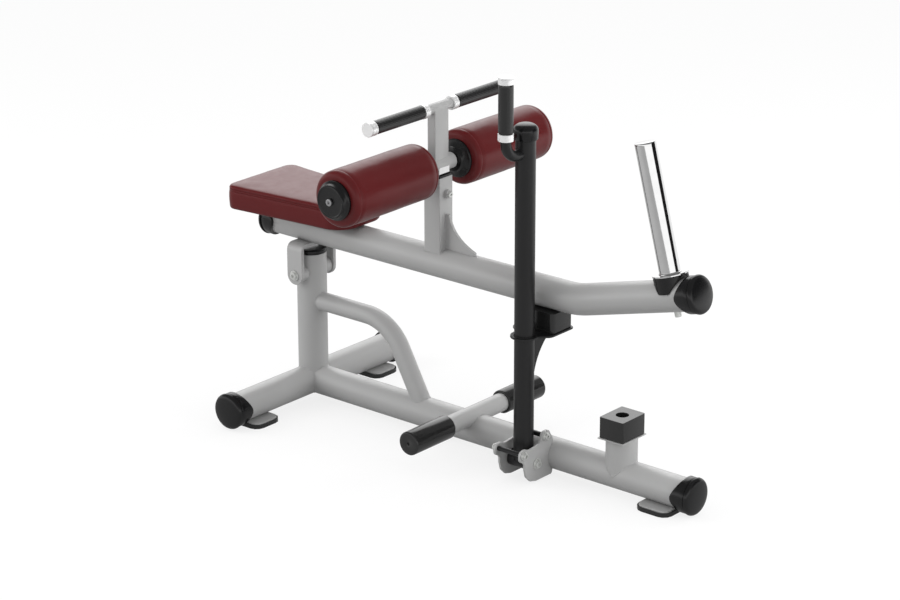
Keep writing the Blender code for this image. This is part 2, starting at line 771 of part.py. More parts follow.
def build_seat():
    plate_low = ARM_Z + TUBE_R + GAP
    rear, front, half = SEAT_PLATE
    corners = [(rear, -half, 0.010), (front, -half, 0.010), (front, half, 0.010), (rear, half, 0.010)]
    frame = flat_frame(plate_low + SEAT_PLATE_THICK / 2)
    plate("seat_plate", rounded_outline(corners, 3), SEAT_PLATE_THICK, frame, BLACK_PAINT)
    seam = SEAT_TOP - 0.0095
    levels = [
        (0.003, SEAT_BOTTOM),
        (0.0, SEAT_BOTTOM + 0.008),
        (0.0, seam - 0.012),
        (0.0018, seam),
        (0.0022, seam + 0.004),
        (0.0050, seam + 0.0080),
        (0.0100, SEAT_TOP - 0.0006),
        (0.045, SEAT_TOP + 0.0010),
        (0.066, SEAT_TOP + 0.0012),
    ]
    cushion = stacked("seat_cushion", levels, seat_outline, VINYL)
    cap_end = ARM_REAR_CROWN + CAP_TONGUE + GAP
    combine(cushion, cut_rod(at(-0.2, 0, ARM_Z), at(cap_end, 0, ARM_Z), CAP_HEAD_R + GAP))


def square_tube(name, width, depth, wall, low, high, material, corner=0.003):
    """An upright tube on the carriage's line, width along X and depth along Y."""
    middle = at(UPRIGHT_X, 0, (low + high) / 2)
    outer = bevelled(block(name, (width, depth, high - low), middle, material), corner, 3, axis=2)
    hollow = block("cutter", (width - 2 * wall, depth - 2 * wall, high - low + 0.02), middle)
    return combine(outer, hollow)


def build_upright():
    """The square upright with its gusset and its clamp boss welded on, and the screw in the boss."""
    side = UPRIGHT_SIDE
    tube = square_tube("lower_upright", side, side, WALL, ARM_Z, UPRIGHT_TOP, PAINT)
    tube = combine(tube, plate("gusset", gusset_outline(), 0.008, side_frame(0)), "UNION")
    face = UPRIGHT_X + side / 2
    boss_end = at(face + 0.010, 0, BOSS_Z)
    boss = rod("boss", at(face - 0.001, 0, BOSS_Z), boss_end, BOSS_R, None, SMALL_SIDES)
    tube = combine(tube, boss, "UNION")
    tube = combine(tube, cut_rod(at(face - 0.01, 0, BOSS_Z), boss_end + Vector((0.01, 0, 0)), CLAMP_R + CLAMP_ROOM))
    cut_arm(tube)
    head = screw_head("clamp_screw", boss_end + Vector((GAP, 0, 0)), (1, 0, 0), 0.0078, 0.0055)
    shank_ends = (at(face - 0.0026, 0, BOSS_Z), boss_end + Vector((0.001, 0, 0)))
    shank = rod("shank", *shank_ends, CLAMP_R, None, SMALL_SIDES)
    combine(head, shank, "UNION")


def gusset_outline():
    """The gusset in side view: let into the upright's wall, with a hollow curve down to its toe."""
    back = UPRIGHT_X + UPRIGHT_SIDE / 2 - 0.0012
    low = ARM_Z + 0.020
    start = Vector((0.4585, 0.580))
    control = Vector((0.468, 0.528))
    end = Vector((0.538, 0.502))
    outline = [Vector((back, low)), Vector((end.x, low))]
    steps = 10
    for i in range(steps + 1):
        t = 1 - i / steps
        outline.append(start * (1 - t) ** 2 + control * 2 * t * (1 - t) + end * t ** 2)
    outline += [Vector((0.4575, 0.583)), Vector((back, 0.583))]
    return outline


def build_guide_collar():
    side = UPRIGHT_SIDE
    low = UPRIGHT_TOP + GAP
    collar = block("guide_collar", (side, side, COLLAR_THICK), at(UPRIGHT_X, 0, low + COLLAR_THICK / 2),
                   PLASTIC)
    collar = bevelled(collar, 0.003, 3, axis=2)
    inner = side - 2 * WALL - 2 * GAP
    sleeve = block("sleeve", (inner, inner, 0.060), at(UPRIGHT_X, 0, low - 0.028), PLASTIC)
    collar = combine(collar, sleeve, "UNION")
    opening = SLIDE_SIDE + 2 * GAP
    combine(collar, block("cutter", (opening, opening, 0.2), at(UPRIGHT_X, 0, low)))


def build_horn():
    """The chromed horn with its flange and its stud welded on, and the saddle it stands in."""
    tall = HORN_TOP - HORN_FLANGE
    profile = [
        (0, tall),
        (HORN_R - 0.0025, tall),
        (HORN_R - 0.0007, tall - 0.0007),
        (HORN_R, tall - 0.0025),
        (HORN_R, 0.001),
        (HORN_R - WALL, 0.001),
        (HORN_R - WALL, tall - 0.005),
        (0, tall - 0.005),
    ]
    above = arm_point(0, 1) - arm_point(0)
    horn = turned("weight_horn", profile, arm_point(HORN_ALONG, HORN_FLANGE), above, CHROME)
    faces = (arm_point(HORN_ALONG, HORN_FLANGE), arm_point(HORN_ALONG, HORN_FLANGE + FLANGE_THICK))
    horn = combine(horn, rod("flange", *faces, HORN_FLANGE_R), "UNION")
    ends = (arm_point(HORN_ALONG, -HORN_STUD_TAIL), arm_point(HORN_ALONG, HORN_FLANGE + 0.001))
    horn = combine(horn, rod("stud", *ends, HORN_STUD_R, None, SMALL_SIDES), "UNION")
    drain = HORN_ALONG + 0.0145
    drain_ends = (arm_point(drain, HORN_FLANGE - 0.01), arm_point(drain, HORN_FLANGE + 0.01))
    combine(horn, cut_rod(*drain_ends, DRAIN_R))
    top = HORN_FLANGE - GAP
    saddle = tapered("horn_saddle", (2 * SADDLE_R, 0.090), (0.030, 0.090), SADDLE_LOW, top)
    turned_down = cut_rod(arm_point(HORN_ALONG, -0.02), arm_point(HORN_ALONG, 0.08), SADDLE_R)
    saddle = combine(saddle, turned_down, "INTERSECT")
    tube = cut_rod(arm_point(0), arm_point(0.5), TUBE_R + GAP)
    stud_hole = cut_rod(arm_point(HORN_ALONG), arm_point(HORN_ALONG, 0.1), HORN_STUD_R + GAP)
    combine(combine(saddle, tube), stud_hole)


def tapered(name, top_size, bottom_size, low, high):
    """A four-sided block on the raised stretch, its top and bottom of different sizes."""
    mesh = bpy.data.meshes.new(name)
    shape = bmesh.new()
    bmesh.ops.create_cube(shape, size=1)
    for corner in shape.verts:
        size, height = (top_size, high) if corner.co.z > 0 else (bottom_size, low)
        corner.co = Vector((corner.co.x * size[0], corner.co.y * size[1], height))
    shape.to_mesh(mesh)
    shape.free()
    obj = bpy.data.objects.new(name, mesh)
    obj.matrix_world = arm_frame(HORN_ALONG)
    return link(obj, PLASTIC)


def build_carriage():
    """The chromed slide, and the head welded from the cross stub, the flat tube and the handle bar."""
    side = SLIDE_SIDE
    slide = square_tube("slide_tube", side, side, 0.0025, SLIDE_BOTTOM, ROLLER_Z, CHROME, 0.002)
    across = (at(UPRIGHT_X, -0.1, ROLLER_Z), at(UPRIGHT_X, 0.1, ROLLER_Z))
    combine(slide, cut_rod(*across, STUB_R + GAP))
    stub_ends = (at(UPRIGHT_X, -STUB_HALF, ROLLER_Z), at(UPRIGHT_X, STUB_HALF, ROLLER_Z))
    head = rod("carriage_head", *stub_ends, STUB_R, PAINT)
    width, depth = FLAT_TUBE
    middle = at(UPRIGHT_X, 0, (ROLLER_Z + HANDLE_Z) / 2)
    flat = block("flat", (width, depth, HANDLE_Z - ROLLER_Z), middle)
    head = combine(head, bevelled(flat, 0.002, 3, axis=2), "UNION")
    bar_ends = (at(UPRIGHT_X, -HANDLE_HALF, HANDLE_Z), at(UPRIGHT_X, HANDLE_HALF, HANDLE_Z))
    head = combine(head, rod("bar", *bar_ends, HANDLE_R + BAR_PROUD, None, BAR_SIDES), "UNION")
    head = combine(head, cut_rod(*across, AXLE_R + GAP))
    low = ROLLER_Z + STUB_R + 0.001
    inside = (width - 2 * FLAT_WALL, depth - 2 * FLAT_WALL, HANDLE_Z - low)
    room = block("cutter", inside, at(UPRIGHT_X, 0, (low + HANDLE_Z) / 2))
    head = combine(head, room)
    wide = (at(UPRIGHT_X, -0.3, HANDLE_Z), at(UPRIGHT_X, 0.3, HANDLE_Z))
    combine(head, cut_rod(*wide, HANDLE_R - 0.002))


def closed_collar(name, start, direction, bar_radius, reach, length, outer):
    """A collar over a bar's end, with a closed face."""
    profile = [
        (0, reach),
        (outer - 0.002, reach),
        (outer, reach - 0.002),
        (outer, reach - length),
        (bar_radius + GAP, reach - length),
        (bar_radius + GAP, reach - 0.0032),
        (0, reach - 0.0032),
    ]
    return turned(name, profile, start, direction, ALUMINIUM, BAR_SIDES)


def ring_collar(name, start, direction, bar_radius, near, far, outer):
    """A plain ring on a bar, between two distances from the start."""
    profile = [(outer, far), (outer, near), (bar_radius + GAP, near), (bar_radius + GAP, far)]
    return turned(name, profile, start, direction, ALUMINIUM, BAR_SIDES, ring=True)


def build_handle():
    """The grips on the handle bar, each between a ring collar and a closed end collar."""
    middle = at(UPRIGHT_X, 0, HANDLE_Z)
    near, far = GRIP_SPAN
    reach = HANDLE_HALF + 0.0035
    bore = HANDLE_R + GAP
    for side, sign in SIDES_OF_MACHINE:
        out = Vector((0, sign, 0))
        ends = (middle + out * (near + GAP), middle + out * (far - GAP))
        pipe(side + "_grip", *ends, GRIP_R, GRIP_R - bore, RUBBER, BAR_SIDES)
        ring_collar(side + "_inner_collar", middle, out, HANDLE_R, near - COLLAR_LENGTH, near, COLLAR_R)
        closed_collar(side + "_end_collar", middle, out, HANDLE_R, reach, reach - far, COLLAR_R)


def build_roller(name, sign):
    """One thigh roller: the padded sleeve, its core tube, and a hub at each end."""
    near, far = ROLLER_SPAN
    out = (0, sign, 0)
    start = at(UPRIGHT_X, 0, ROLLER_Z)
    pad = [(CORE_R + GAP, far)]
    edge = ROLLER_EDGE
    for turn in (0, math.radians(30), math.radians(60), math.radians(90)):
        pad.append((ROLLER_R - edge + edge * math.sin(turn), far - edge + edge * math.cos(turn)))
    for turn in (0, math.radians(30), math.radians(60), math.radians(90)):
        pad.append((ROLLER_R - edge + edge * math.cos(turn), near + edge - edge * math.sin(turn)))
    pad.append((CORE_R + GAP, near))
    turned(name + "_pad", pad, start, out, VINYL, ring=True)
    core_ends = (at(UPRIGHT_X, sign * near, ROLLER_Z), at(UPRIGHT_X, sign * far, ROLLER_Z))
    pipe(name + "_core", *core_ends, CORE_R, 0.003, STEEL)
    bore = AXLE_R + GAP
    spigot = CORE_R - 0.003 - GAP
    face = far + HUB_DEPTH + 0.002
    outer = [
        (0.0045, face),
        (HUB_FACE_R, face),
        (HUB_FACE_R + 0.004, far + 0.0085),
        (HUB_DISC_R, far + 0.0055),
        (HUB_DISC_R, far + GAP),
        (spigot, far + GAP),
        (spigot, far - 0.022),
        (bore, far - 0.022),
        (bore, face - 0.0025),
        (0.0045, face - 0.0025),
    ]
    inner = [
        (spigot, near + 0.022),
        (spigot, near - GAP),
        (HUB_DISC_R, near - GAP),
        (HUB_DISC_R, near - 0.0055),
        (0.032, near - 0.0115),
        (0.030, near - HUB_DEPTH),
        (bore, near - HUB_DEPTH),
        (bore, near + 0.022),
    ]
    turned(name + "_outer_hub", outer, start, out, PLASTIC, ring=True)
    turned(name + "_inner_hub", inner, start, out, PLASTIC, ring=True)


def build_axle():
    """The roller axle, with the screw in each end made as one solid with it."""
    reach = ROLLER_SPAN[1] + HUB_DEPTH - 0.001
    middle = at(UPRIGHT_X, 0, ROLLER_Z)
    half = Vector((0, reach, 0))
    axle = rod("roller_axle", middle - half, middle + half, AXLE_R, STEEL, BAR_SIDES)
    for _, sign in SIDES_OF_MACHINE:
        out = Vector((0, sign, 0))
        seat = middle + out * (ROLLER_SPAN[1] + HUB_DEPTH + 0.002 + GAP)
        shank = rod("shank", seat - out * 0.010, seat + out * 0.0005, 0.0040, None, SMALL_SIDES)
        head = screw_head("head", seat, out, AXLE_SCREW_R, 0.0040)
        axle = combine(combine(axle, shank, "UNION"), head, "UNION")


def lever_at(z, y=0.0, x=0.0):
    """A place on the lever's line, at a height above the floor."""
    return at(LEVER_X + x, LEVER_Y + y, z)


def build_lever():
    """The lever tube with its hub and its J handle welded on, its bush, and the cap on its top."""
    tube = pipe("lever_tube", lever_at(LEVER_Z), lever_at(LEVER_TOP), LEVER_R, WALL, BLACK_PAINT)
    half = LEVER_HUB_HALF
    hub = rod("hub", lever_at(LEVER_Z, x=-half), lever_at(LEVER_Z, x=half), LEVER_HUB_R)
    tube = combine(tube, hub, "UNION")
    tube = combine(tube, cut_rod(lever_at(LEVER_Z, x=-0.1), lever_at(LEVER_Z, x=0.1), BUSH_R + GAP))
    tube = combine(tube, j_handle_bar(-0.0185, 0, J_R), "UNION")
    combine(tube, j_handle_bar(-0.0093, 0.02, J_R - 0.0025))
    bush_ends = (lever_at(LEVER_Z, x=-half + GAP), lever_at(LEVER_Z, x=half - GAP))
    pipe("lever_bush", *bush_ends, BUSH_R, BUSH_R - PIN_R - GAP, STEEL, BAR_SIDES)
    tall = CAP_TOP - CAP_RIM
    profile = [
        (0, tall),
        (0.014, tall - 0.0012),
        (0.0235, tall - 0.0055),
        (CAP_R, tall - 0.0165),
        (CAP_R, tall - 0.0235),
        (CAP_R - 0.0014, 0),
        (LEVER_R + GAP, 0),
        (LEVER_R + GAP, LEVER_TOP - CAP_RIM + GAP),
        (0, LEVER_TOP - CAP_RIM + GAP),
    ]
    turned("lever_cap", profile, lever_at(CAP_RIM), UP, PLASTIC)


def j_handle_bar(start, beyond, radius):
    """The line of the lever's handle: out from the lever, then up, its ends moved as asked."""
    end = J_GRIP[1] + J_COLLAR - 0.0036 + beyond
    corner = at(LEVER_X, J_Y, J_Z)
    route = bent_route([lever_at(J_Z, y=start), corner, at(LEVER_X, J_Y, end)], [J_BEND])
    return bent_rod("j_bar", route, radius, None, 6)


def build_shelf():
    low, high = SHELF_Z
    disc = SHELF_DISC_R
    aside = LEVER_X - REST_X
    outline = rounded_outline([
        (SHELF_HALF, SHELF_INNER, 0.012),
        (-SHELF_HALF, SHELF_INNER, 0.012),
        (-SHELF_HALF, LEVER_Y + 0.033, 0.020),
        (aside - disc, LEVER_Y + 0.012, 0.010),
        (aside - disc, LEVER_Y - disc, disc * 0.98),
        (aside + disc, LEVER_Y - disc, disc * 0.98),
        (aside + disc, LEVER_Y + 0.012, 0.010),
        (SHELF_HALF, LEVER_Y + 0.033, 0.020),
    ])
    frame = flat_frame((low + high) / 2) @ Matrix.Translation((REST_X, 0, 0))
    shelf = plate("lever_shelf", outline, high - low, frame, BLACK_PAINT)
    gusset = plate("gusset", shelf_gusset_outline(), 0.007, across_frame(LEVER_X))
    shelf = combine(shelf, gusset, "UNION")
    combine(shelf, cut_rod(lever_at(0.2), lever_at(0.5), LEVER_R + GAP))
    middle = at(REST_X, 0, high + GAP + REST_BLOCK[2] / 2)
    bevelled(block("rest_block", REST_BLOCK, middle, RUBBER), REST_CORNER, 4, axis=2)


def shelf_gusset_outline():
    """The plate under the shelf, its lower edge an arc about a point beyond its tip."""
    top = SHELF_Z[0] + 0.001
    centre = Vector((0.095, 0.230))
    radius = 0.145
    back = LEVER_Y + LEVER_R - 0.004
    tip = 0.034
    first = math.acos((tip - centre.x) / radius)
    outline = [Vector((back, top)), Vector((back, centre.y - 0.004))]
    steps = 12
    for i in range(steps + 1):
        turn = math.pi - (math.pi - first) * i / steps
        outline.append(centre + Vector((math.cos(turn), math.sin(turn))) * radius)
    outline.append(Vector((tip, top)))
    return outline


def build_lever_grip():
    low, high = J_GRIP
    base = at(LEVER_X, J_Y, 0)
    wall = J_GRIP_R - J_R - GAP
    pipe("lever_grip", base + UP * (low + GAP), base + UP * (high - GAP), J_GRIP_R, wall, RUBBER, BAR_SIDES)
    ring_collar("lever_grip_lower_collar", base, UP, J_R, low - J_COLLAR, low, J_COLLAR_R)
    closed_collar("lever_grip_top_collar", base, UP, J_R, high + J_COLLAR, J_COLLAR, J_COLLAR_R)


def build_machine():
    build_base()
    build_cross()
    build_post()
    build_brace()
    build_foot_bar()
    build_stop()
    build_bracket()
    build_foot_pads()
    build_frame_caps()
    build_arm()
    build_clevis()
    build_seat()
    build_upright()
    build_guide_collar()
    build_horn()
    build_carriage()
    build_handle()
    build_axle()
    for side, sign in SIDES_OF_MACHINE:
        build_roller(side + "_roller", sign)
    build_lever()
    build_shelf()
    build_lever_grip()


build_machine()
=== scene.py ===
"""The looks of the seated calf raise machine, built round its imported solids. Metres, +Z up."""

import json
import math

import bmesh
import bpy
from mathutils import Matrix, Vector, noise


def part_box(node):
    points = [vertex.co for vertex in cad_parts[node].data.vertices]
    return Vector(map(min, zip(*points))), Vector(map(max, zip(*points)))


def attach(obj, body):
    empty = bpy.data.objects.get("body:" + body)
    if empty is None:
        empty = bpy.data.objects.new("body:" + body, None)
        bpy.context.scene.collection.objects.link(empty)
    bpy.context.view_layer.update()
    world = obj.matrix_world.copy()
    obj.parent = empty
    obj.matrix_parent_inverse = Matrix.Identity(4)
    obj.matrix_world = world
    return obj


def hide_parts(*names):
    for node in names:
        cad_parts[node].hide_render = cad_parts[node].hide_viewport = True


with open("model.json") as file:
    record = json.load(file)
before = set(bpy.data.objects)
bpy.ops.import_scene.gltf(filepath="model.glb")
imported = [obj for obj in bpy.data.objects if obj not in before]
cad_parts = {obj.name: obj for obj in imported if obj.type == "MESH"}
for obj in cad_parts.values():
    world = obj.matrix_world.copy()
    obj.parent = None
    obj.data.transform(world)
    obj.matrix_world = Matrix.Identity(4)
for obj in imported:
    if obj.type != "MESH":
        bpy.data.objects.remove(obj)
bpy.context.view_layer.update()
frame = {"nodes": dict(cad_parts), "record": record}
NODES = frame["nodes"]
BODIES = frame["record"]["behaviour"]["bodies"]
BODY_OF = {node: body for body, nodes in BODIES.items() for node in nodes}
SLOT_OF = {entry["node"]: entry["material_slot"] for entry in frame["record"]["subparts"]}

# Camera, solved from the straight tube edges of the photograph
IMAGE_WIDTH = 900
FOCAL_PIXELS = 2949.232
SENSOR = 36.0
CAMERA_PLACE = (4.81224, -5.17090, 2.80165)  # from the rear post's foot
CAMERA_AZIMUTH = math.radians(40.104)
CAMERA_ELEVATION = math.radians(19.827)
CAMERA_ROLL = math.radians(-0.112)

# Floor: its own tone, the tone that camera and mirrors see, and the light added to that
FLOOR_REACH = 30
FLOOR_TONE = 0.42
FLOOR_SEEN = 0.18
FLOOR_LIFT = 0.79
FLOOR_SHEEN = 0.27
FLOOR_FAR_SHEEN = 0.85
FAR_FLOOR_TOWARDS = (0.5, 0.87, 0)
FAR_FLOOR_EDGES = (1.0, 3.0)

# Studio: its even light, and the bright and dark parts that mirrors see in it
WORLD_LIGHT = 0.92
MIRROR_HORIZON = 1.2
MIRROR_CEILING = 0.22
CEILING_EDGES = (0.12, 0.40)
MIRROR_WINDOW = 2.2
WINDOW_TOWARDS = (-0.55, 0.66, 0.51)
WINDOW_EDGES = (0.84, 0.96)
MIRROR_PANEL = 0.01
PANEL_TOWARDS = (0.77, 0.64, 0.05)
PANEL_EDGES = (0.885, 0.900)

# Lamps: place, what each is aimed at, size and watts
LAMPS = {
    "overhead": ((-0.9, 1.3, 3.1), (0, 0, 0.3), 2.8, 10),
    "left_wall": ((-3.0, -2.4, 1.9), (0, 0, 0.45), 2.6, 74),
    "front_fill": ((3.4, 0.2, 1.2), (0, 0, 0.4), 2.2, 44),
    "back_right": ((1.9, 2.9, 1.7), (0.2, 0.3, 0.1), 2.2, 40),
}

# Directions, and the number of sides of round forms
FORWARD = Vector((1, 0, 0))
LEFT = Vector((0, 1, 0))
UP = Vector((0, 0, 1))
ROUND = 96
SMALL_ROUND = 48


def middle_of(node):
    low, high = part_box(node)
    return (low + high) / 2


# Main lines of the machine; each X that is a number is counted forward from the rear post
POST_X = middle_of("rear_post").x
BASE_Z = middle_of("base_end_cap").z
ARM_Z = middle_of("arm_rear_cap").z
ROLLER_Z = middle_of("roller_axle").z
TUBE_R = 0.0381
ARM_RISE = math.radians(14.9)
ARM_BEND_X = 0.8512
HUB_Z = 0.342
HUB_R = 0.0215
BRACE_R = 0.02375
BRACE_CORNER_X = 0.261
BRACE_Z = 0.264
BRACE_STEEPNESS = math.radians(28.8)  # from upright
FOOT_BAR_X = 0.534
FOOT_BAR_Z = 0.084
FOOT_BAR_R = 0.0232
STOP_X = 0.9855
UPRIGHT_X = 0.421
HANDLE_Z = 0.846
LEVER_X = 0.754
LEVER_Y = -0.0808
LEVER_Z = 0.0497
LEVER_TOP = 0.8742
LEVER_R = 0.02415
J_R = 0.0128
J_Y = -0.1538
J_Z = 0.8162
J_GRIP_LOW = 0.8782
J_GRIP_TOP = 0.9952
ARM_BEND = Vector((POST_X + ARM_BEND_X, 0, ARM_Z))
ARM_FORWARD = Vector((math.cos(ARM_RISE), 0, math.sin(ARM_RISE)))
ARM_ABOVE = Vector((-math.sin(ARM_RISE), 0, math.cos(ARM_RISE)))
BRACE_DROP = Vector((math.sin(BRACE_STEEPNESS), 0, -math.cos(BRACE_STEEPNESS)))


def at(x, y, z):
    """A place from the rear post's foot, X forward, Y to the user's left, Z above the floor."""
    return Vector((POST_X + x, y, z))


def arm_point(along, lift=0.0):
    """A place on the raised stretch of the arm, along it from the bend and above its axis."""
    return ARM_BEND + ARM_FORWARD * along + ARM_ABOVE * lift


# Nodes, for a material or for the world


def add_node(owner, kind, **sockets):
    """A node with its constants set; a socket's name is written with _ for a space."""
    node = owner.node_tree.nodes.new(kind)
    for key, value in sockets.items():
        node.inputs[key.replace("_", " ")].default_value = value
    return node


def join(owner, output, target):
    owner.node_tree.links.new(output, target)


def math_node(owner, operation, first, second):
    node = add_node(owner, "ShaderNodeMath")
    node.operation = operation
    join(owner, first, node.inputs[0])
    join(owner, second, node.inputs[1])
    return node.outputs["Value"]


def towards(owner, place, direction):
    """How far a place lies in a direction."""
    node = add_node(owner, "ShaderNodeVectorMath")
    node.operation = "DOT_PRODUCT"
    node.inputs[1].default_value = direction
    join(owner, place, node.inputs[0])
    return node.outputs["Value"]


def ranged(owner, value, low, high, start=0.3, end=0.7, curve="LINEAR"):
    """A value spread over a new range."""
    node = add_node(owner, "ShaderNodeMapRange", From_Min=start, From_Max=end, To_Min=low, To_Max=high)
    node.interpolation_type = curve
    join(owner, value, node.inputs["Value"])
    return node.outputs["Result"]


def white_light(owner, kind, strength):
    """An emission or background node; its strength is a number or another node's output."""
    node = add_node(owner, kind, Color=(1, 1, 1, 1))
    if isinstance(strength, float):
        node.inputs["Strength"].default_value = strength
    else:
        join(owner, strength, node.inputs["Strength"])
    return node.outputs[0]


def mirror_rays(owner, rays):
    """1 for a ray that a mirror or glass sends on."""
    return math_node(owner, "MAXIMUM", rays.outputs["Is Glossy Ray"], rays.outputs["Is Transmission Ray"])


def chosen(owner, when, shader, otherwise):
    """One shader for some rays and another for the rest."""
    node = add_node(owner, "ShaderNodeMixShader")
    join(owner, when, node.inputs["Fac"])
    join(owner, otherwise, node.inputs[1])
    join(owner, shader, node.inputs[2])
    return node.outputs["Shader"]


# Camera, floor and light


def make_camera():
    back = Vector((
        math.sin(CAMERA_AZIMUTH) * math.cos(CAMERA_ELEVATION),
        -math.cos(CAMERA_AZIMUTH) * math.cos(CAMERA_ELEVATION),
        math.sin(CAMERA_ELEVATION),
    ))
    level = Vector((math.cos(CAMERA_AZIMUTH), math.sin(CAMERA_AZIMUTH), 0))
    upward = back.cross(level)
    right = level * math.cos(CAMERA_ROLL) + upward * math.sin(CAMERA_ROLL)
    upward = back.cross(right)
    data = bpy.data.cameras.new("camera")
    data.sensor_width = SENSOR
    data.sensor_fit = "HORIZONTAL"
    data.lens = FOCAL_PIXELS / IMAGE_WIDTH * SENSOR
    data.clip_end = 100
    camera = bpy.data.objects.new("camera", data)
    turn = Matrix((right, upward, back)).transposed().to_4x4()
    camera.matrix_world = Matrix.Translation(Vector(CAMERA_PLACE) + FORWARD * POST_X) @ turn
    bpy.context.scene.collection.objects.link(camera)
    bpy.context.scene.camera = camera


def make_floor():
    mesh = bpy.data.meshes.new("floor")
    shape = bmesh.new()
    bmesh.ops.create_grid(shape, x_segments=1, y_segments=1, size=FLOOR_REACH)
    shape.to_mesh(mesh)
    shape.free()
    floor = bpy.data.objects.new("floor", mesh)
    bpy.context.scene.collection.objects.link(floor)
    mesh.materials.append(floor_material())


def floor_material():
    """A matt floor, which camera and mirrors see lifted towards white, the machine's shadow left on it."""
    material = bpy.data.materials.new("floor_white")
    material.use_nodes = True
    material.node_tree.nodes.clear()
    matt = add_node(material, "ShaderNodeBsdfDiffuse", Color=(FLOOR_TONE, FLOOR_TONE, FLOOR_TONE, 1))
    seen = add_node(material, "ShaderNodeBsdfDiffuse", Color=(FLOOR_SEEN, FLOOR_SEEN, FLOOR_SEEN, 1))
    rays = add_node(material, "ShaderNodeLightPath")
    distance = towards(material, coordinates(material), FAR_FLOOR_TOWARDS)
    sheen = ranged(material, distance, FLOOR_SHEEN, FLOOR_FAR_SHEEN, *FAR_FLOOR_EDGES)
    surface = matt.outputs["BSDF"]
    for when, light in ((mirror_rays(material, rays), sheen), (rays.outputs["Is Camera Ray"], FLOOR_LIFT)):
        lifted = add_node(material, "ShaderNodeAddShader")
        join(material, seen.outputs["BSDF"], lifted.inputs[0])
        join(material, white_light(material, "ShaderNodeEmission", light), lifted.inputs[1])
        surface = chosen(material, when, lifted.outputs["Shader"], otherwise=surface)
    output = add_node(material, "ShaderNodeOutputMaterial")
    join(material, surface, output.inputs["Surface"])
    return material


def make_world():
    """Even studio light. Mirrors see a white horizon, a dim ceiling, a bright window and a dark panel."""
    world = bpy.data.worlds.new("studio")
    bpy.context.scene.world = world
    world.use_nodes = True
    world.node_tree.nodes.clear()
    place = add_node(world, "ShaderNodeTexCoord").outputs["Generated"]
    rays = add_node(world, "ShaderNodeLightPath")

    def part(direction, edges, outside, inside):
        return ranged(world, towards(world, place, direction), outside, inside, *edges, curve="SMOOTHSTEP")

    sky = part((0, 0, 1), CEILING_EDGES, MIRROR_HORIZON, MIRROR_CEILING)
    window = part(WINDOW_TOWARDS, WINDOW_EDGES, 0.0, MIRROR_WINDOW)
    panel = part(PANEL_TOWARDS, PANEL_EDGES, 1.0, MIRROR_PANEL)
    mirrored = math_node(world, "MULTIPLY", math_node(world, "MAXIMUM", sky, window), panel)
    even, mirror, white = [
        white_light(world, "ShaderNodeBackground", strength) for strength in (WORLD_LIGHT, mirrored, 1.0)
    ]
    around = chosen(world, mirror_rays(world, rays), mirror, otherwise=even)
    seen = chosen(world, rays.outputs["Is Camera Ray"], white, otherwise=around)
    output = add_node(world, "ShaderNodeOutputWorld")
    join(world, seen, output.inputs["Surface"])


def make_lamps():
    for name, (place, aim, size, power) in LAMPS.items():
        data = bpy.data.lights.new(name, "AREA")
        data.shape = "RECTANGLE"
        data.size = size
        data.size_y = size
        data.energy = power
        lamp = bpy.data.objects.new(name, data)
        lamp.location = place
        direction = Vector(aim) - Vector(place)
        lamp.rotation_euler = direction.to_track_quat("-Z", "Y").to_euler()
        lamp.visible_glossy = False
        bpy.context.scene.collection.objects.link(lamp)


# Materials


def plain_shader(name, colour, roughness, metallic=0.0):
    material = bpy.data.materials.new(name)
    material.use_nodes = True
    shader = material.node_tree.nodes["Principled BSDF"]
    shader.inputs["Base Color"].default_value = (*colour, 1)
    shader.inputs["Roughness"].default_value = roughness
    shader.inputs["Metallic"].default_value = metallic
    material.diffuse_color = (*colour, 1)
    return material, shader


def coordinates(material):
    """Object space, which stays with a piece when its body moves."""
    return add_node(material, "ShaderNodeTexCoord").outputs["Object"]


def noise_texture(material, scale, detail=2.0, roughness=0.5):
    node = add_node(material, "ShaderNodeTexNoise", Scale=scale, Detail=detail, Roughness=roughness)
    join(material, coordinates(material), node.inputs["Vector"])
    return node.outputs["Fac"]


def tinted(material, shader, tone, darkest, lightest, patches):
    """Varies the base colour between two multiples of its tone, by a noise."""
    ramp = add_node(material, "ShaderNodeValToRGB")
    for stop, factor in zip(ramp.color_ramp.elements, (darkest, lightest)):
        stop.color = (*(channel * factor for channel in tone), 1)
    join(material, ranged(material, patches, 0, 1), ramp.inputs["Fac"])
    join(material, ramp.outputs["Color"], shader.inputs["Base Color"])


def polished(material, shader, low, high, marks):
    """Varies the roughness between two values, by a noise."""
    join(material, ranged(material, marks, low, high), shader.inputs["Roughness"])


def bumped(material, shader, height, strength, distance, before=None):
    node = add_node(material, "ShaderNodeBump", Strength=strength, Distance=distance)
    join(material, height, node.inputs["Height"])
    if before is not None:
        join(material, before, node.inputs["Normal"])
    join(material, node.outputs["Normal"], shader.inputs["Normal"])
    return node.outputs["Normal"]


def coated(name, tone, roughness, metallic=0.0, spread=0.06, shine=0.5):
    """Powder coat: an even tone, a fine orange-peel skin and faint handling marks."""
    material, shader = plain_shader(name, tone, roughness, metallic)
    shader.inputs["Specular IOR Level"].default_value = shine
    tinted(material, shader, tone, 1 - spread, 1 + spread, noise_texture(material, 5.0, 4.0))
    polished(material, shader, roughness - 0.05, roughness + 0.07, noise_texture(material, 38.0, 6.0, 0.65))
    bumped(material, shader, noise_texture(material, 420.0), 0.10, 0.0004)
    return material


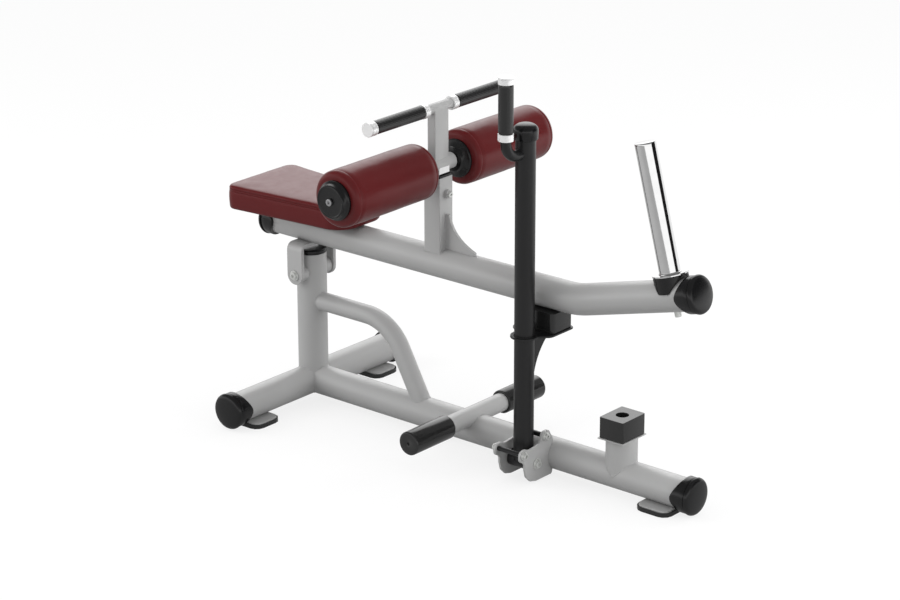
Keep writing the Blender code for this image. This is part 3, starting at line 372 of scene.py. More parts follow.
def moulded(name, tone, roughness, grain, depth, spread, shine, wear):
    """Plastic or rubber with a fine moulded skin and a little dust in its tone."""
    material, shader = plain_shader(name, tone, roughness)
    shader.inputs["Specular IOR Level"].default_value = shine
    tinted(material, shader, tone, 1 - spread, 1 + spread, noise_texture(material, 14.0, 5.0, 0.6))
    polished(material, shader, roughness - wear, roughness + wear, noise_texture(material, 60.0, 4.0, 0.6))
    bumped(material, shader, noise_texture(material, grain), depth, 0.0003)
    return material


def leather(name, tone, roughness):
    """Grained vinyl: small rounded cells, a soft swell over them and slight wear in the gloss."""
    material, shader = plain_shader(name, tone, roughness)
    shader.inputs["Specular IOR Level"].default_value = 0.30
    tinted(material, shader, tone, 0.98, 1.02, noise_texture(material, 24.0, 3.0))
    polished(material, shader, roughness - 0.02, roughness + 0.05, noise_texture(material, 45.0, 5.0, 0.6))
    cells = add_node(material, "ShaderNodeTexVoronoi", Scale=620.0, Randomness=1.0)
    cells.feature = "SMOOTH_F1"
    join(material, coordinates(material), cells.inputs["Vector"])
    grain = bumped(material, shader, cells.outputs["Distance"], 0.28, 0.0005)
    bumped(material, shader, noise_texture(material, 70.0, 3.0), 0.05, 0.0015, grain)
    return material


def plated(name, tone, roughness, spread, grain, metallic=1.0, relief=0.04):
    """Bare or plated metal with faint smudges in its tone and gloss."""
    material, shader = plain_shader(name, tone, roughness, metallic)
    smudges = noise_texture(material, grain, 5.0, 0.6)
    tinted(material, shader, tone, 0.96, 1.03, smudges)
    polished(material, shader, roughness * (1 - spread), roughness * (1 + spread), smudges)
    bumped(material, shader, noise_texture(material, 900.0), relief, 0.0002)
    return material


def make_materials():
    """A material for each slot: its kind, its tone, its roughness and what else the kind needs."""
    finishes = {
        "silver_paint": (coated, (0.400, 0.400, 0.398), 0.38, {"metallic": 0.15, "spread": 0.03}),
        "black_paint": (coated, (0.0085, 0.0085, 0.009), 0.35, {"shine": 0.45}),
        "black_plastic": (moulded, (0.0050, 0.0050, 0.0054), 0.23, {
            "grain": 300.0, "depth": 0.015, "spread": 0.05, "shine": 0.45, "wear": 0.015,
        }),
        "black_rubber": (moulded, (0.013, 0.013, 0.013), 0.20, {
            "grain": 900.0, "depth": 0.012, "spread": 0.04, "shine": 0.6, "wear": 0.008,
        }),
        "maroon_vinyl": (leather, (0.094, 0.0068, 0.0078), 0.30, {}),
        "chrome": (plated, (0.80, 0.80, 0.80), 0.055, {"spread": 0.3, "grain": 60.0}),
        "bright_aluminium": (plated, (0.95, 0.95, 0.95), 0.25, {
            "spread": 0.06, "grain": 20.0, "metallic": 0.5, "relief": 0.001,
        }),
        "zinc_plating": (plated, (0.72, 0.73, 0.71), 0.40, {
            "spread": 0.2, "grain": 180.0, "metallic": 0.75,
        }),
        "plain_steel": (plated, (0.46, 0.46, 0.47), 0.38, {"spread": 0.2, "grain": 180.0}),
    }
    return {slot: kind(slot, tone, rough, **rest) for slot, (kind, tone, rough, rest) in finishes.items()}


MATERIALS = make_materials()


# Pieces


def shown(mesh, name, slot, smooth_angle):
    """Adds a mesh to the scene, smooth between its sharp edges and in the material of its slot."""
    obj = bpy.data.objects.new(name, mesh)
    bpy.context.scene.collection.objects.link(obj)
    mesh.materials.clear()
    mesh.materials.append(MATERIALS[slot])
    for face in mesh.polygons:
        face.use_smooth = True
    mesh.set_sharp_from_angle(angle=math.radians(smooth_angle))
    return obj


def placed(mesh, name, node, slot=None, smooth_angle=35.0):
    """Adds a mesh to the scene in place of a solid, on the solid's body and in its slot or another."""
    slot = slot or SLOT_OF[node]
    obj = shown(mesh, name, slot, smooth_angle)
    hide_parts(node)
    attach(obj, BODY_OF[node])
    return obj


def finished_mesh(shape, name):
    """Ends a shape: its faces turned outwards, as a mesh."""
    bmesh.ops.recalc_face_normals(shape, faces=shape.faces)
    mesh = bpy.data.meshes.new(name)
    shape.to_mesh(mesh)
    shape.free()
    return mesh


def piece(shape, name, node, slot=None, smooth_angle=35.0):
    """Ends a shape as a piece that stands for a solid."""
    return placed(finished_mesh(shape, name), name, node, slot, smooth_angle)


def extra(shape, name, body, slot):
    """Ends a shape as a fine piece that rides on a body and stands for no solid of its own."""
    obj = shown(finished_mesh(shape, name), name, slot, 50)
    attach(obj, body)


def softened(obj, width):
    """Rounds the sharp edges of a piece a little, as paint and moulding do."""
    bevel = obj.modifiers.new("edge", "BEVEL")
    bevel.width = width
    bevel.segments = 2
    bevel.limit_method = "ANGLE"
    bevel.angle_limit = math.radians(38)
    bevel.use_clamp_overlap = True
    bevel.harden_normals = True


def dressed(node, edge):
    """A cleaned copy of a solid with smooth shading, and soft edges where they have a width."""
    mesh = NODES[node].data.copy()
    shape = bmesh.new()
    shape.from_mesh(mesh)
    bmesh.ops.remove_doubles(shape, verts=shape.verts, dist=1e-5)
    bmesh.ops.dissolve_limit(shape, angle_limit=math.radians(0.6), verts=shape.verts, edges=shape.edges)
    shape.to_mesh(mesh)
    shape.free()
    obj = placed(mesh, "look_" + node, node)
    if edge:
        softened(obj, edge)


# Form building


def sides_of(direction):
    """Two unit vectors square to a direction and to each other."""
    along = direction.normalized()
    first = along.cross(UP)
    if first.length < 0.1:
        first = LEFT.copy()
    first.normalize()
    return first, along.cross(first)


def turns_of(count):
    """The angles of evenly spaced points on a circle."""
    return [2 * math.pi * i / count for i in range(count)]


def spoke(first, second, turn):
    """The direction at an angle between two square ones."""
    return first * math.cos(turn) + second * math.sin(turn)


def ring_of(shape, centre, first, second, radius, sides):
    """A ring of points; the radius is a number or a function of the angle."""
    ring = []
    for turn in turns_of(sides):
        reach = radius(turn) if callable(radius) else radius
        ring.append(shape.verts.new(centre + spoke(first, second, turn) * reach))
    return ring


def bridge(shape, lower, upper):
    """Faces between two rings, either of which may be a single point."""
    count = max(len(lower), len(upper))
    for i in range(count):
        j = (i + 1) % count
        if len(lower) == 1:
            shape.faces.new((lower[0], upper[i], upper[j]))
        elif len(upper) == 1:
            shape.faces.new((lower[i], upper[0], lower[j]))
        else:
            shape.faces.new((lower[i], upper[i], upper[j], lower[j]))


def bridge_all(shape, rings):
    for lower, upper in zip(rings, rings[1:]):
        bridge(shape, lower, upper)


def capped(shape, rings):
    """Bridges rings and closes both ends."""
    bridge_all(shape, rings)
    shape.faces.new(reversed(rings[0]))
    shape.faces.new(rings[-1])


def revolve(shape, profile, origin, direction, sides=ROUND, ring=False):
    """A turned form: radius and distance along the axis for each ring, a zero radius for a point."""
    along = direction.normalized()
    first, second = sides_of(along)
    rings = []
    for radius, reach in profile:
        centre = origin + along * reach
        if not callable(radius) and radius < 1e-6:
            rings.append([shape.verts.new(centre)])
        else:
            rings.append(ring_of(shape, centre, first, second, radius, sides))
    bridge_all(shape, rings)
    if ring:
        bridge(shape, rings[-1], rings[0])
    return rings


def turned(name, node, profile, origin, direction, sides=ROUND, smooth_angle=50):
    """A piece that is a single turned form."""
    shape = bmesh.new()
    revolve(shape, profile, origin, direction, sides)
    piece(shape, name, node, smooth_angle=smooth_angle)


def path_sides(points):
    """Two square vectors for each point of a path, carried along without twist."""
    first = sides_of(points[1] - points[0])[0]
    pairs = []
    for i in range(len(points)):
        ahead = points[min(i + 1, len(points) - 1)] - points[max(i - 1, 0)]
        ahead.normalize()
        first = (first - ahead * first.dot(ahead)).normalized()
        pairs.append((first, ahead.cross(first)))
    return pairs


def sweep(shape, points, radius, sides=ROUND):
    """A closed round bar along a path."""
    pairs = zip(points, path_sides(points))
    capped(shape, [ring_of(shape, point, first, second, radius, sides) for point, (first, second) in pairs])


def filleted(points, radius, steps=24):
    """A path through corners, each rounded by an arc."""
    route = [points[0]]
    for before, corner, after in zip(points, points[1:], points[2:]):
        back = (before - corner).normalized()
        ahead = (after - corner).normalized()
        half = back.angle(ahead) / 2
        reach = radius / math.tan(half)
        centre = corner + (back + ahead).normalized() * radius / math.sin(half)
        start = (corner + back * reach - centre).normalized()
        end = (corner + ahead * reach - centre).normalized()
        for i in range(steps + 1):
            route.append(centre + start.slerp(end, i / steps) * radius)
    return route + [points[-1]]


def bead(shape, points, radius=0.0015):
    """A weld bead along a closed line, its ripples a couple of millimetres apart."""
    sides = 8
    rings = []
    for i, point in enumerate(points):
        first, second = sides_of(points[(i + 1) % len(points)] - points[i - 1])
        ripple = 1 + 0.13 * math.sin(i * 1.9) + 0.10 * noise.noise(point * 160)
        rings.append(ring_of(shape, point, first, second, radius * ripple, sides))
    for lower, upper in zip(rings, rings[1:] + rings[:1]):
        nearest = min(range(sides), key=lambda k: (upper[k].co - lower[0].co).length)
        bridge(shape, lower, upper[nearest:] + upper[:nearest])


def tube_crossing(start, direction, radius, other, other_direction, other_radius, side=1, count=160):
    """The line where a round tube meets the outside of a larger one."""
    along = direction.normalized()
    across = other_direction.normalized()
    first, second = sides_of(along)
    flat = along - across * along.dot(across)
    line = []
    for turn in turns_of(count):
        point = start + spoke(first, second, turn) * radius
        gap = (point - other) - across * (point - other).dot(across)
        facing = gap.dot(flat)
        inside = max(facing ** 2 - flat.dot(flat) * (gap.dot(gap) - other_radius ** 2), 0)
        line.append(point + along * (-facing + side * math.sqrt(inside)) / flat.dot(flat))
    return line


def circle_line(centre, radius, count=90):
    """A level circle as a line of points."""
    return [centre + spoke(FORWARD, LEFT, turn) * radius for turn in turns_of(count)]


def prism(shape, outline, thickness, place):
    """A flat level plate with this outline, its middle at the place."""
    rings = []
    for height in (-thickness / 2, thickness / 2):
        rings.append([shape.verts.new(place + Vector((x, y, height))) for x, y in outline])
    capped(shape, rings)


def rounded_outline(corners, steps=10):
    """An outline with each corner rounded: x, y and radius for each."""
    outline = []
    for i, (x, y, radius) in enumerate(corners):
        before = Vector((*corners[i - 1][:2], 0))
        after = Vector((*corners[(i + 1) % len(corners)][:2], 0))
        outline += filleted([before, Vector((x, y, 0)), after], radius, steps)[1:-1]
    return [(point.x, point.y) for point in outline]


def box_outline(length, width, corner):
    x, y = length / 2, width / 2
    return rounded_outline([(-x, -y, corner), (x, -y, corner), (x, y, corner), (-x, y, corner)])


def hub_sleeve(shape, middle, direction, bore, radius, half):
    """A short tube with slightly rounded ends, closed into a ring."""
    edge = 0.0009
    profile = [(bore, -half), (radius - edge, -half), (radius, edge - half)]
    profile += [(radius, half - edge), (radius - edge, half), (bore, half)]
    revolve(shape, profile, middle, direction, SMALL_ROUND, ring=True)


# Fixed frame

PAINTED_EDGE = 0.0012
PIN_BORE = 0.0128
FOOT_PLATE_BOTTOM = 0.004
FOOT_PLATE_TOP = 0.0136
FOOT_PLATE_CORNER = 0.020
POST_TOP = 0.391
STOP_POST_TOP = 0.1447


def foot_plate(shape, x, y, length, width):
    middle = at(x, y, (FOOT_PLATE_BOTTOM + FOOT_PLATE_TOP) / 2)
    outline = box_outline(length, width, FOOT_PLATE_CORNER)
    prism(shape, outline, FOOT_PLATE_TOP - FOOT_PLATE_BOTTOM, middle)


def make_base():
    rear, front = 0.012, 1.199
    shape = bmesh.new()
    sweep(shape, [at(rear, 0, BASE_Z), at(front, 0, BASE_Z)], TUBE_R)
    foot_plate(shape, 1.1115, 0, 0.087, 0.108)
    softened(piece(shape, "base_with_foot", "base_tube"), PAINTED_EDGE)


def make_cross():
    half, plate_y = 0.312, 0.2265
    shape = bmesh.new()
    sweep(shape, [at(0, -half, BASE_Z), at(0, half, BASE_Z)], TUBE_R)
    for sign in (-1, 1):
        foot_plate(shape, 0, sign * plate_y, 0.106, 0.083)
    softened(piece(shape, "cross_with_feet", "rear_cross_tube"), PAINTED_EDGE)


def make_post():
    shape = bmesh.new()
    sweep(shape, [at(0, 0, BASE_Z), at(0, 0, POST_TOP)], TUBE_R)
    hub_sleeve(shape, at(0, 0, HUB_Z), LEFT, PIN_BORE, HUB_R, 0.0535)
    piece(shape, "post_with_hub", "rear_post")
    plug = [(0, 0.0115), (0.020, 0.0114), (0.0325, 0.0112), (0.0350, 0.0109), (0.0367, 0.0102)]
    plug += [(0.0377, 0.0091), (0.0381, 0.0076), (0.0381, 0.0012), (0.0376, 0.0004), (0, 0.0004)]
    turned("post_plug_fine", "post_plug", plug, at(0, 0, POST_TOP), UP)


def make_brace():
    rear, length, bend_radius = 0.020, 0.228, 0.125
    corner = at(BRACE_CORNER_X, 0, BRACE_Z)
    path = filleted([at(rear, 0, BRACE_Z), corner, corner + BRACE_DROP * length], bend_radius, 40)
    shape = bmesh.new()
    sweep(shape, path, BRACE_R)
    piece(shape, "brace_fine", "brace_tube")


def make_foot_bar():
    middle, half = at(FOOT_BAR_X, 0, FOOT_BAR_Z), LEFT * 0.2435
    shape = bmesh.new()
    sweep(shape, [middle - half, middle + half], FOOT_BAR_R, SMALL_ROUND)
    piece(shape, "foot_bar_fine", "foot_bar")
    sleeve = [(0, 0.2440), (0.0038, 0.2440), (0.0040, 0.2462), (0.0052, 0.2470), (0.0255, 0.2470)]
    sleeve += [(0.0280, 0.2463), (0.0293, 0.2446), (0.0297, 0.2425), (0.0297, 0.1075), (0.0293, 0.1058)]
    sleeve += [(0.0282, 0.1050), (0.0235, 0.1050), (0.0234, 0.1060), (0.0234, 0.2438), (0, 0.2438)]
    for side, sign in (("near", -1), ("far", 1)):
        turned(side + "_sleeve_fine", side + "_foot_sleeve", sleeve, middle, LEFT * sign)


# End caps, in distances along the axis from a point 11 mm outside the face

CAP_SLEEVE_R = 0.0445
CAP_SLEEVE_START = -0.0280
CAP_SLEEVE_END = -0.0452
CAP_TONGUE = 0.0197
CAP_TONGUE_BLUNTNESS = 0.25
CAP_HEAD = [(0, -0.0112), (0.012, -0.0114), (0.024, -0.0123), (0.032, -0.0135), (0.0368, -0.0146)]
CAP_HEAD += [(0.0394, -0.0154), (0.0418, -0.0166), (0.0438, -0.0184), (0.0452, -0.0207), (0.0460, -0.0232)]
CAP_HEAD += [(0.0460, -0.0248), (0.0450, -0.0254), (0.0428, -0.0257), (0.0427, -0.0269), (0.0440, -0.0273)]
CAP_HEAD.append((CAP_SLEEVE_R, CAP_SLEEVE_START))
# Down the sleeve: the share of its length, which differs round it, and the radius there
CAP_SLEEVE = ((0.35, CAP_SLEEVE_R), (0.7, CAP_SLEEVE_R), (0.975, CAP_SLEEVE_R))
CAP_SLEEVE += ((0.995, 0.0442), (1.0, 0.0434), (1.0, 0.0383))


def cap_edge(turn):
    """How far back the sleeve reaches at an angle from its tongues, furthest at the two of them."""
    blunt = CAP_TONGUE_BLUNTNESS
    share = (math.hypot(math.sin(turn), blunt) - blunt) / (math.hypot(1, blunt) - blunt)
    return CAP_SLEEVE_END - CAP_TONGUE * (1 - share) ** 1.1


def end_cap(name, node, origin, direction, tongue_side):
    """A cap with a nearly flat face, a groove behind its head, and a sleeve with a tongue on two sides."""
    along = direction.normalized()
    first, second = sides_of(along)
    start = math.atan2(tongue_side.dot(second), tongue_side.dot(first))
    shape = bmesh.new()
    rings = revolve(shape, CAP_HEAD, origin, along)[-1:]
    for share, radius in CAP_SLEEVE:
        ring = []
        for turn in turns_of(ROUND):
            reach = CAP_SLEEVE_START + (cap_edge(turn - start) - CAP_SLEEVE_START) * share
            ring.append(shape.verts.new(origin + along * reach + spoke(first, second, turn) * radius))
        rings.append(ring)
    bridge_all(shape, rings)
    piece(shape, name, node, smooth_angle=50)


def make_end_caps():
    base, cross, arm_rear, arm_front = 1.222, 0.335, -0.1595, 0.380
    end_cap("base_cap_fine", "base_end_cap", at(base, 0, BASE_Z), FORWARD, LEFT)
    end_cap("near_cap_fine", "near_cross_end_cap", at(0, -cross, BASE_Z), -LEFT, FORWARD)
    end_cap("far_cap_fine", "far_cross_end_cap", at(0, cross, BASE_Z), LEFT, FORWARD)
    end_cap("arm_rear_cap_fine", "arm_rear_cap", at(arm_rear, 0, ARM_Z), -FORWARD, LEFT)
    end_cap("arm_front_cap_fine", "arm_front_cap", arm_point(arm_front), ARM_FORWARD, LEFT)


def make_stop_post():
    foot, flange = 0.060, 0.0025
    outline = box_outline(0.0745, 0.0945, 0.002)
    shape = bmesh.new()
    sweep(shape, [at(STOP_X, 0, foot), at(STOP_X, 0, STOP_POST_TOP)], TUBE_R)
    prism(shape, outline, flange, at(STOP_X, 0, STOP_POST_TOP + flange / 2))
    softened(piece(shape, "stop_post_fine", "stop_post"), 0.0006)


# Bolts

BOLT_GAP = 0.0003
BOLT_HEAD = 0.0053
SOCKET_SHARE = 0.42
STOP_RODS = (("inner_stop", -0.0499, 0.1115), ("outer_stop", -0.1320, 0.0860))
# A bolt's radius, its washer's radius and thickness, its head's radius, and the slot of its rod
STOP_ROD = (0.006, 0.0105, 0.0040, 0.0073, "black_paint")
PIVOT_PIN = (0.008, 0.0135, 0.0025, 0.0090, "zinc_plating")


def cap_head(shape, seat, direction, radius, height, socket):
    """A straight-sided bolt head with a hexagon socket."""
    rim = 0.0008
    sixth = math.pi / 3

    def hexagon(size):
        return lambda turn: size / math.cos((turn + sixth / 2) % sixth - sixth / 2)

    profile = [(radius, 0), (radius, height - rim), (radius - rim * 0.3, height - rim * 0.3)]
    profile += [(radius - rim, height), (hexagon(socket * 1.06), height)]
    profile += [(hexagon(socket), height * 0.93), (hexagon(socket), height * 0.35), (0, height * 0.25)]
    revolve(shape, profile, seat, direction, SMALL_ROUND)


def washer(shape, seat, direction, radius, thick):
    edge = min(0.0006, thick * 0.3)
    profile = [(0, 0), (radius, 0), (radius, thick - edge), (radius - edge, thick), (0, thick)]
    revolve(shape, profile, seat, direction, SMALL_ROUND)


def through_bolt(name, node, middle, direction, half, radius, disc_radius, disc, head_radius, slot):
    """A rod through the machine, with a washer and a bolt head at each end."""
    shape = bmesh.new()
    sweep(shape, [middle - direction * half, middle + direction * half], radius, SMALL_ROUND)
    piece(shape, name + "_rod", node, slot, 40)
    shape = bmesh.new()
    for sign in (-1, 1):
        out = direction * sign
        seat = middle + out * (half + BOLT_GAP)
        washer(shape, seat, out, disc_radius, disc)
        cap_head(shape, seat + out * disc, out, head_radius, BOLT_HEAD, head_radius * SOCKET_SHARE)
    piece(shape, name + "_heads", node, smooth_angle=40)


def make_bolts():
    bracket_half, clevis_half = 0.041, 0.064
    lever_pivot = at(LEVER_X, LEVER_Y, LEVER_Z)
    for name, y, z in STOP_RODS:
        through_bolt(name, name + "_bolt", at(LEVER_X, y, z), FORWARD, bracket_half, *STOP_ROD)
    through_bolt("lever_pin", "lever_pivot_bolt", lever_pivot, FORWARD, bracket_half, *PIVOT_PIN)
    through_bolt("arm_pin", "arm_pivot_bolt", at(0, 0, HUB_Z), LEFT, clevis_half, *PIVOT_PIN)


# Welds of the frame


def chord(offset):
    """Half the width of a main tube at a distance from its axis."""
    return math.sqrt(max(TUBE_R ** 2 - offset ** 2, 0))


def post_foot_line():
    """Where the post stands on the base and cross tubes."""
    line = []
    for turn in turns_of(200):
        x, y = TUBE_R * math.cos(turn), TUBE_R * math.sin(turn)
        over_base = chord(y) if x > 0 else 0
        line.append(at(x, y, BASE_Z + max(chord(x), over_base)))
    return line


def foot_bar_line():
    """Where the foot bar lies in the base tube: down one side of it, and back up the other."""
    count = 80
    start, sweep_angle = 80.5, 199
    line = []
    for sign in (-1, 1):
        arc = []
        for i in range(count):
            turn = math.radians(start + sweep_angle * i / (count - 1))
            height = FOOT_BAR_Z - BASE_Z + FOOT_BAR_R * math.cos(turn)
            arc.append(at(FOOT_BAR_X + FOOT_BAR_R * math.sin(turn), sign * chord(height), BASE_Z + height))
        line += arc if sign < 0 else reversed(arc)
    return line


def make_frame_welds():
    corner = at(0, 0, BASE_Z)
    base = (corner, FORWARD, TUBE_R)
    cross = (corner, LEFT, TUBE_R)
    post = (at(0, 0, 0), UP, TUBE_R)
    tube = TUBE_R - 0.0001  # a little thinner, so that the line between equal tubes closes
    shape = bmesh.new()
    bead(shape, post_foot_line())
    bead(shape, tube_crossing(at(0.2, 0, BASE_Z), FORWARD, tube, *cross))
    bead(shape, tube_crossing(at(0.1, 0, BRACE_Z), FORWARD, BRACE_R, *post))
    brace_foot = at(BRACE_CORNER_X, 0, BRACE_Z) + BRACE_DROP * 0.2
    bead(shape, tube_crossing(brace_foot, -BRACE_DROP, BRACE_R, *base))
    bead(shape, tube_crossing(at(STOP_X, 0, 0.1), UP, tube, *base))
    for sign in (-1, 1):
        bead(shape, tube_crossing(at(0, sign * 0.04, HUB_Z), LEFT, HUB_R, *post, side=sign), 0.0012)
    bead(shape, foot_bar_line(), 0.0013)
    extra(shape, "frame_welds", "frame", "silver_paint")


# Lifting arm

SEAT_REAR = -0.1826
SEAT_FRONT = 0.185
SEAT_HALF = 0.1235
SEAT_TAPER = 0.102
SEAT_TOP = 0.5600
SEAT_BOTTOM = 0.4982
SEAT_SEAM = 0.0118  # below the top, between its two rows of stitches
SEAT_POINTS = 260
# Up the seat's side and over its top: drawn in by, and height above its bottom or its top
SEAT_SIDE = ((0.030, 0.0004), (0.006, 0.0002), (0.0030, 0.0010), (0.0012, 0.0032), (0.0004, 0.0075))
SEAT_SIDE += ((-0.0004, 0.020), (-0.0006, 0.031))
SEAT_CROWN = ((-0.0002, -0.0215), (0.0005, -0.0165), (0.0011, -0.0148), (0.0019, -0.0141), (0.0012, -0.0134))
SEAT_CROWN += ((0.0008, -0.0118), (0.0012, -0.0102), (0.0021, -0.0095), (0.0014, -0.0088), (0.0013, -0.0070))
SEAT_CROWN += ((0.0020, -0.0048), (0.0036, -0.0027), (0.0062, -0.0012), (0.0100, -0.0003), (0.0160, 0.0003))
SEAT_CROWN += ((0.0260, 0.0008), (0.0420, 0.0012), (0.0600, 0.0014), (0.0760, 0.0015))
STITCH_POINTS = 1560
STITCH_STEP = 6
STITCH_LENGTH = 3
STITCH_THREAD = 0.00042

HORN_ALONG = 0.285
HORN_FOOT = 0.0506
HORN_TOP = 0.3600
HORN_R = 0.0247
HORN_FLANGE_R = 0.0425
HORN_FLANGE = 0.0032
STUD_R = 0.0080
STUD_END = -0.050


def make_arm():
    rear, raised, bend_radius = -0.1365, 0.357, 0.210
    path = filleted([at(rear, 0, ARM_Z), ARM_BEND, arm_point(raised)], bend_radius)
    shape = bmesh.new()
    sweep(shape, path, TUBE_R)
    piece(shape, "arm_fine", "arm_tube")


def seat_outline(inset):
    """The seat in plan, wider at the rear, drawn in evenly by an amount."""
    rear, front = SEAT_REAR + inset, SEAT_FRONT - inset
    rear_half = SEAT_HALF - inset
    front_half = SEAT_HALF - SEAT_TAPER * (SEAT_FRONT - SEAT_REAR) - inset
    rear_corner = max(0.028 - inset, 0.006)
    front_corner = max(0.060 - inset, 0.010)
    return rounded_outline([
        (rear, -rear_half, rear_corner),
        (front, -front_half, front_corner),
        (front, front_half, front_corner),
        (rear, rear_half, rear_corner),
    ], 16)


def even_outline(outline, count):
    """The same outline with its points evenly spaced."""
    points = [Vector((x, y, 0)) for x, y in outline]
    lengths = [0]
    for i, point in enumerate(points):
        lengths.append(lengths[-1] + (points[(i + 1) % len(points)] - point).length)
    even = []
    leg = 0
    for i in range(count):
        goal = lengths[-1] * i / count
        while lengths[leg + 1] < goal:
            leg += 1
        share = (goal - lengths[leg]) / (lengths[leg + 1] - lengths[leg])
        even.append(points[leg].lerp(points[(leg + 1) % len(points)], share))
    return even


def seat_ring(shape, inset, height):
    """A level line round the seat, with slight slack: outwards on the side, upwards on the top."""
    ring = []
    for point in even_outline(seat_outline(inset), SEAT_POINTS):
        place = at(point.x, point.y, height)
        slack = noise.noise(place * 22) * 0.0005 + noise.noise(place * 70) * 0.00015
        way = point.normalized() if inset < 0.006 else UP
        ring.append(shape.verts.new(place + way * slack))
    return ring


def make_seat():
    """The seat: a soft side, a double seam near the top, and a slightly full top."""
    levels = [(inset, SEAT_BOTTOM + height) for inset, height in SEAT_SIDE]
    levels += [(inset, SEAT_TOP + height) for inset, height in SEAT_CROWN]
    shape = bmesh.new()
    capped(shape, [seat_ring(shape, inset, height) for inset, height in levels])
    seat = piece(shape, "seat_padded", "seat_cushion", smooth_angle=75)
    shape = bmesh.new()
    for drop in (SEAT_SEAM + 0.0040, SEAT_SEAM - 0.0042):
        stitch_row(shape, even_outline(seat_outline(0.0007), STITCH_POINTS), SEAT_TOP - drop)
    extra(shape, "seat_stitches", "arm", "maroon_vinyl")


def stitch_row(shape, points, height):
    """Short raised stitches, a few millimetres long, with gaps between them."""
    for i in range(0, len(points) - STITCH_LENGTH - 1, STITCH_STEP):
        start, end = points[i], points[i + STITCH_LENGTH]
        ahead = (end - start).normalized()
        across = Vector((ahead.y, -ahead.x, 0))
        tips = [shape.verts.new(at(point.x, point.y, height)) for point in (start, end)]
        belly = []
        for share in (0.2, 0.8):
            middle = start.lerp(end, share)
            for side, lift in ((1, 0), (0, 1), (-1, 0), (0, -1)):
                place = at(middle.x, middle.y, height) + (across * side + UP * lift) * STITCH_THREAD
                belly.append(shape.verts.new(place))
        for k in range(4):
            j = (k + 1) % 4
            shape.faces.new((tips[0], belly[j], belly[k]))
            shape.faces.new((belly[k], belly[j], belly[4 + j], belly[4 + k]))
            shape.faces.new((tips[1], belly[4 + k], belly[4 + j]))


def make_horn():
    """The horn with its rounded end, its flange, and the stud whose tail shows under the arm."""
    foot, tall = arm_point(HORN_ALONG, HORN_FOOT), HORN_TOP - HORN_FOOT
    radius, rim, flange = HORN_R, HORN_FLANGE_R, HORN_FLANGE
    # The second and third rings keep the long side's shading apart from its rounded ends
    post = [(radius, 0.001), (radius, 0.008), (radius, tall - 0.0060), (radius, tall - 0.0040)]
    post += [(radius - 0.0003, tall - 0.0020), (radius - 0.0010, tall - 0.0008)]
    post += [(radius - 0.0022, tall - 0.0002), (radius - 0.0040, tall), (0, tall)]
    disc = [(0, 0), (rim - 0.0004, 0), (rim, 0.0004), (rim, flange - 0.0004)]
    disc += [(rim - 0.0004, flange), (0, flange)]
    weld = [(radius, flange), (radius + 0.0022, 0.0034), (radius + 0.0018, 0.0046)]
    weld += [(radius + 0.0004, 0.0056), (radius, 0.0060)]
    shape = bmesh.new()
    for profile in (post, disc, weld):
        revolve(shape, profile, foot, ARM_ABOVE)
    piece(shape, "horn_fine", "weight_horn")
    stud = [(0, STUD_END), (STUD_R - 0.0010, STUD_END), (STUD_R, STUD_END + 0.0010)]
    stud += [(STUD_R, HORN_FOOT), (0, HORN_FOOT)]
    shape = bmesh.new()
    revolve(shape, stud, arm_point(HORN_ALONG), ARM_ABOVE, SMALL_ROUND)
    piece(shape, "stud_fine", "weight_horn", slot="zinc_plating")


def upright_line():
    """Where the square upright stands on the arm."""
    half = 0.0251
    count = 40
    corners = [(-half, -half), (half, -half), (half, half), (-half, half)]
    line = []
    for (x, y), (next_x, next_y) in zip(corners, corners[1:] + corners[:1]):
        for i in range(count):
            share = i / count
            across = y + (next_y - y) * share
            line.append(at(UPRIGHT_X + x + (next_x - x) * share, across, ARM_Z + chord(across)))
    return line


def make_arm_welds():
    shape = bmesh.new()
    bead(shape, upright_line(), 0.0013)
    extra(shape, "arm_welds", "arm", "silver_paint")


# Thigh rollers and handle

ROLLER_NEAR = 0.0695
ROLLER_FAR = 0.367
ROLLER_R = 0.069
ROLLER_CORE_R = 0.0243
ROLLER_EDGE = 0.0145
# Hubs: radius, and distance out from the roller's end
OUTER_HUB = [(0.0052, 0.0152), (0.0052, 0.0186), (0.0060, 0.0194), (0.0080, 0.0194), (0.0335, 0.0194)]
OUTER_HUB += [(0.0350, 0.0196), (0.0362, 0.0205), (0.0378, 0.0210), (0.0394, 0.0207), (0.0402, 0.0196)]
OUTER_HUB += [(0.0405, 0.0180), (0.0418, 0.0118), (0.0428, 0.0100), (0.0446, 0.0088), (0.0466, 0.0078)]
OUTER_HUB += [(0.0477, 0.0062), (0.0480, 0.0044), (0.0480, 0.0006), (0.0207, 0.0003)]
INNER_HUB = [(0.0128, 0.0190), (0.0285, 0.0190), (0.0298, 0.0184), (0.0302, 0.0172), (0.0318, 0.0122)]
INNER_HUB += [(0.0330, 0.0112), (0.0452, 0.0066), (0.0472, 0.0058), (0.0480, 0.0046), (0.0480, 0.0006)]
INNER_HUB.append((0.0207, 0.0003))
GRIP_SIDES = 240
GRIP_RIBS = 30
GRIP_RIB_DEPTH = 0.0004
HANDLE_R = 0.0128


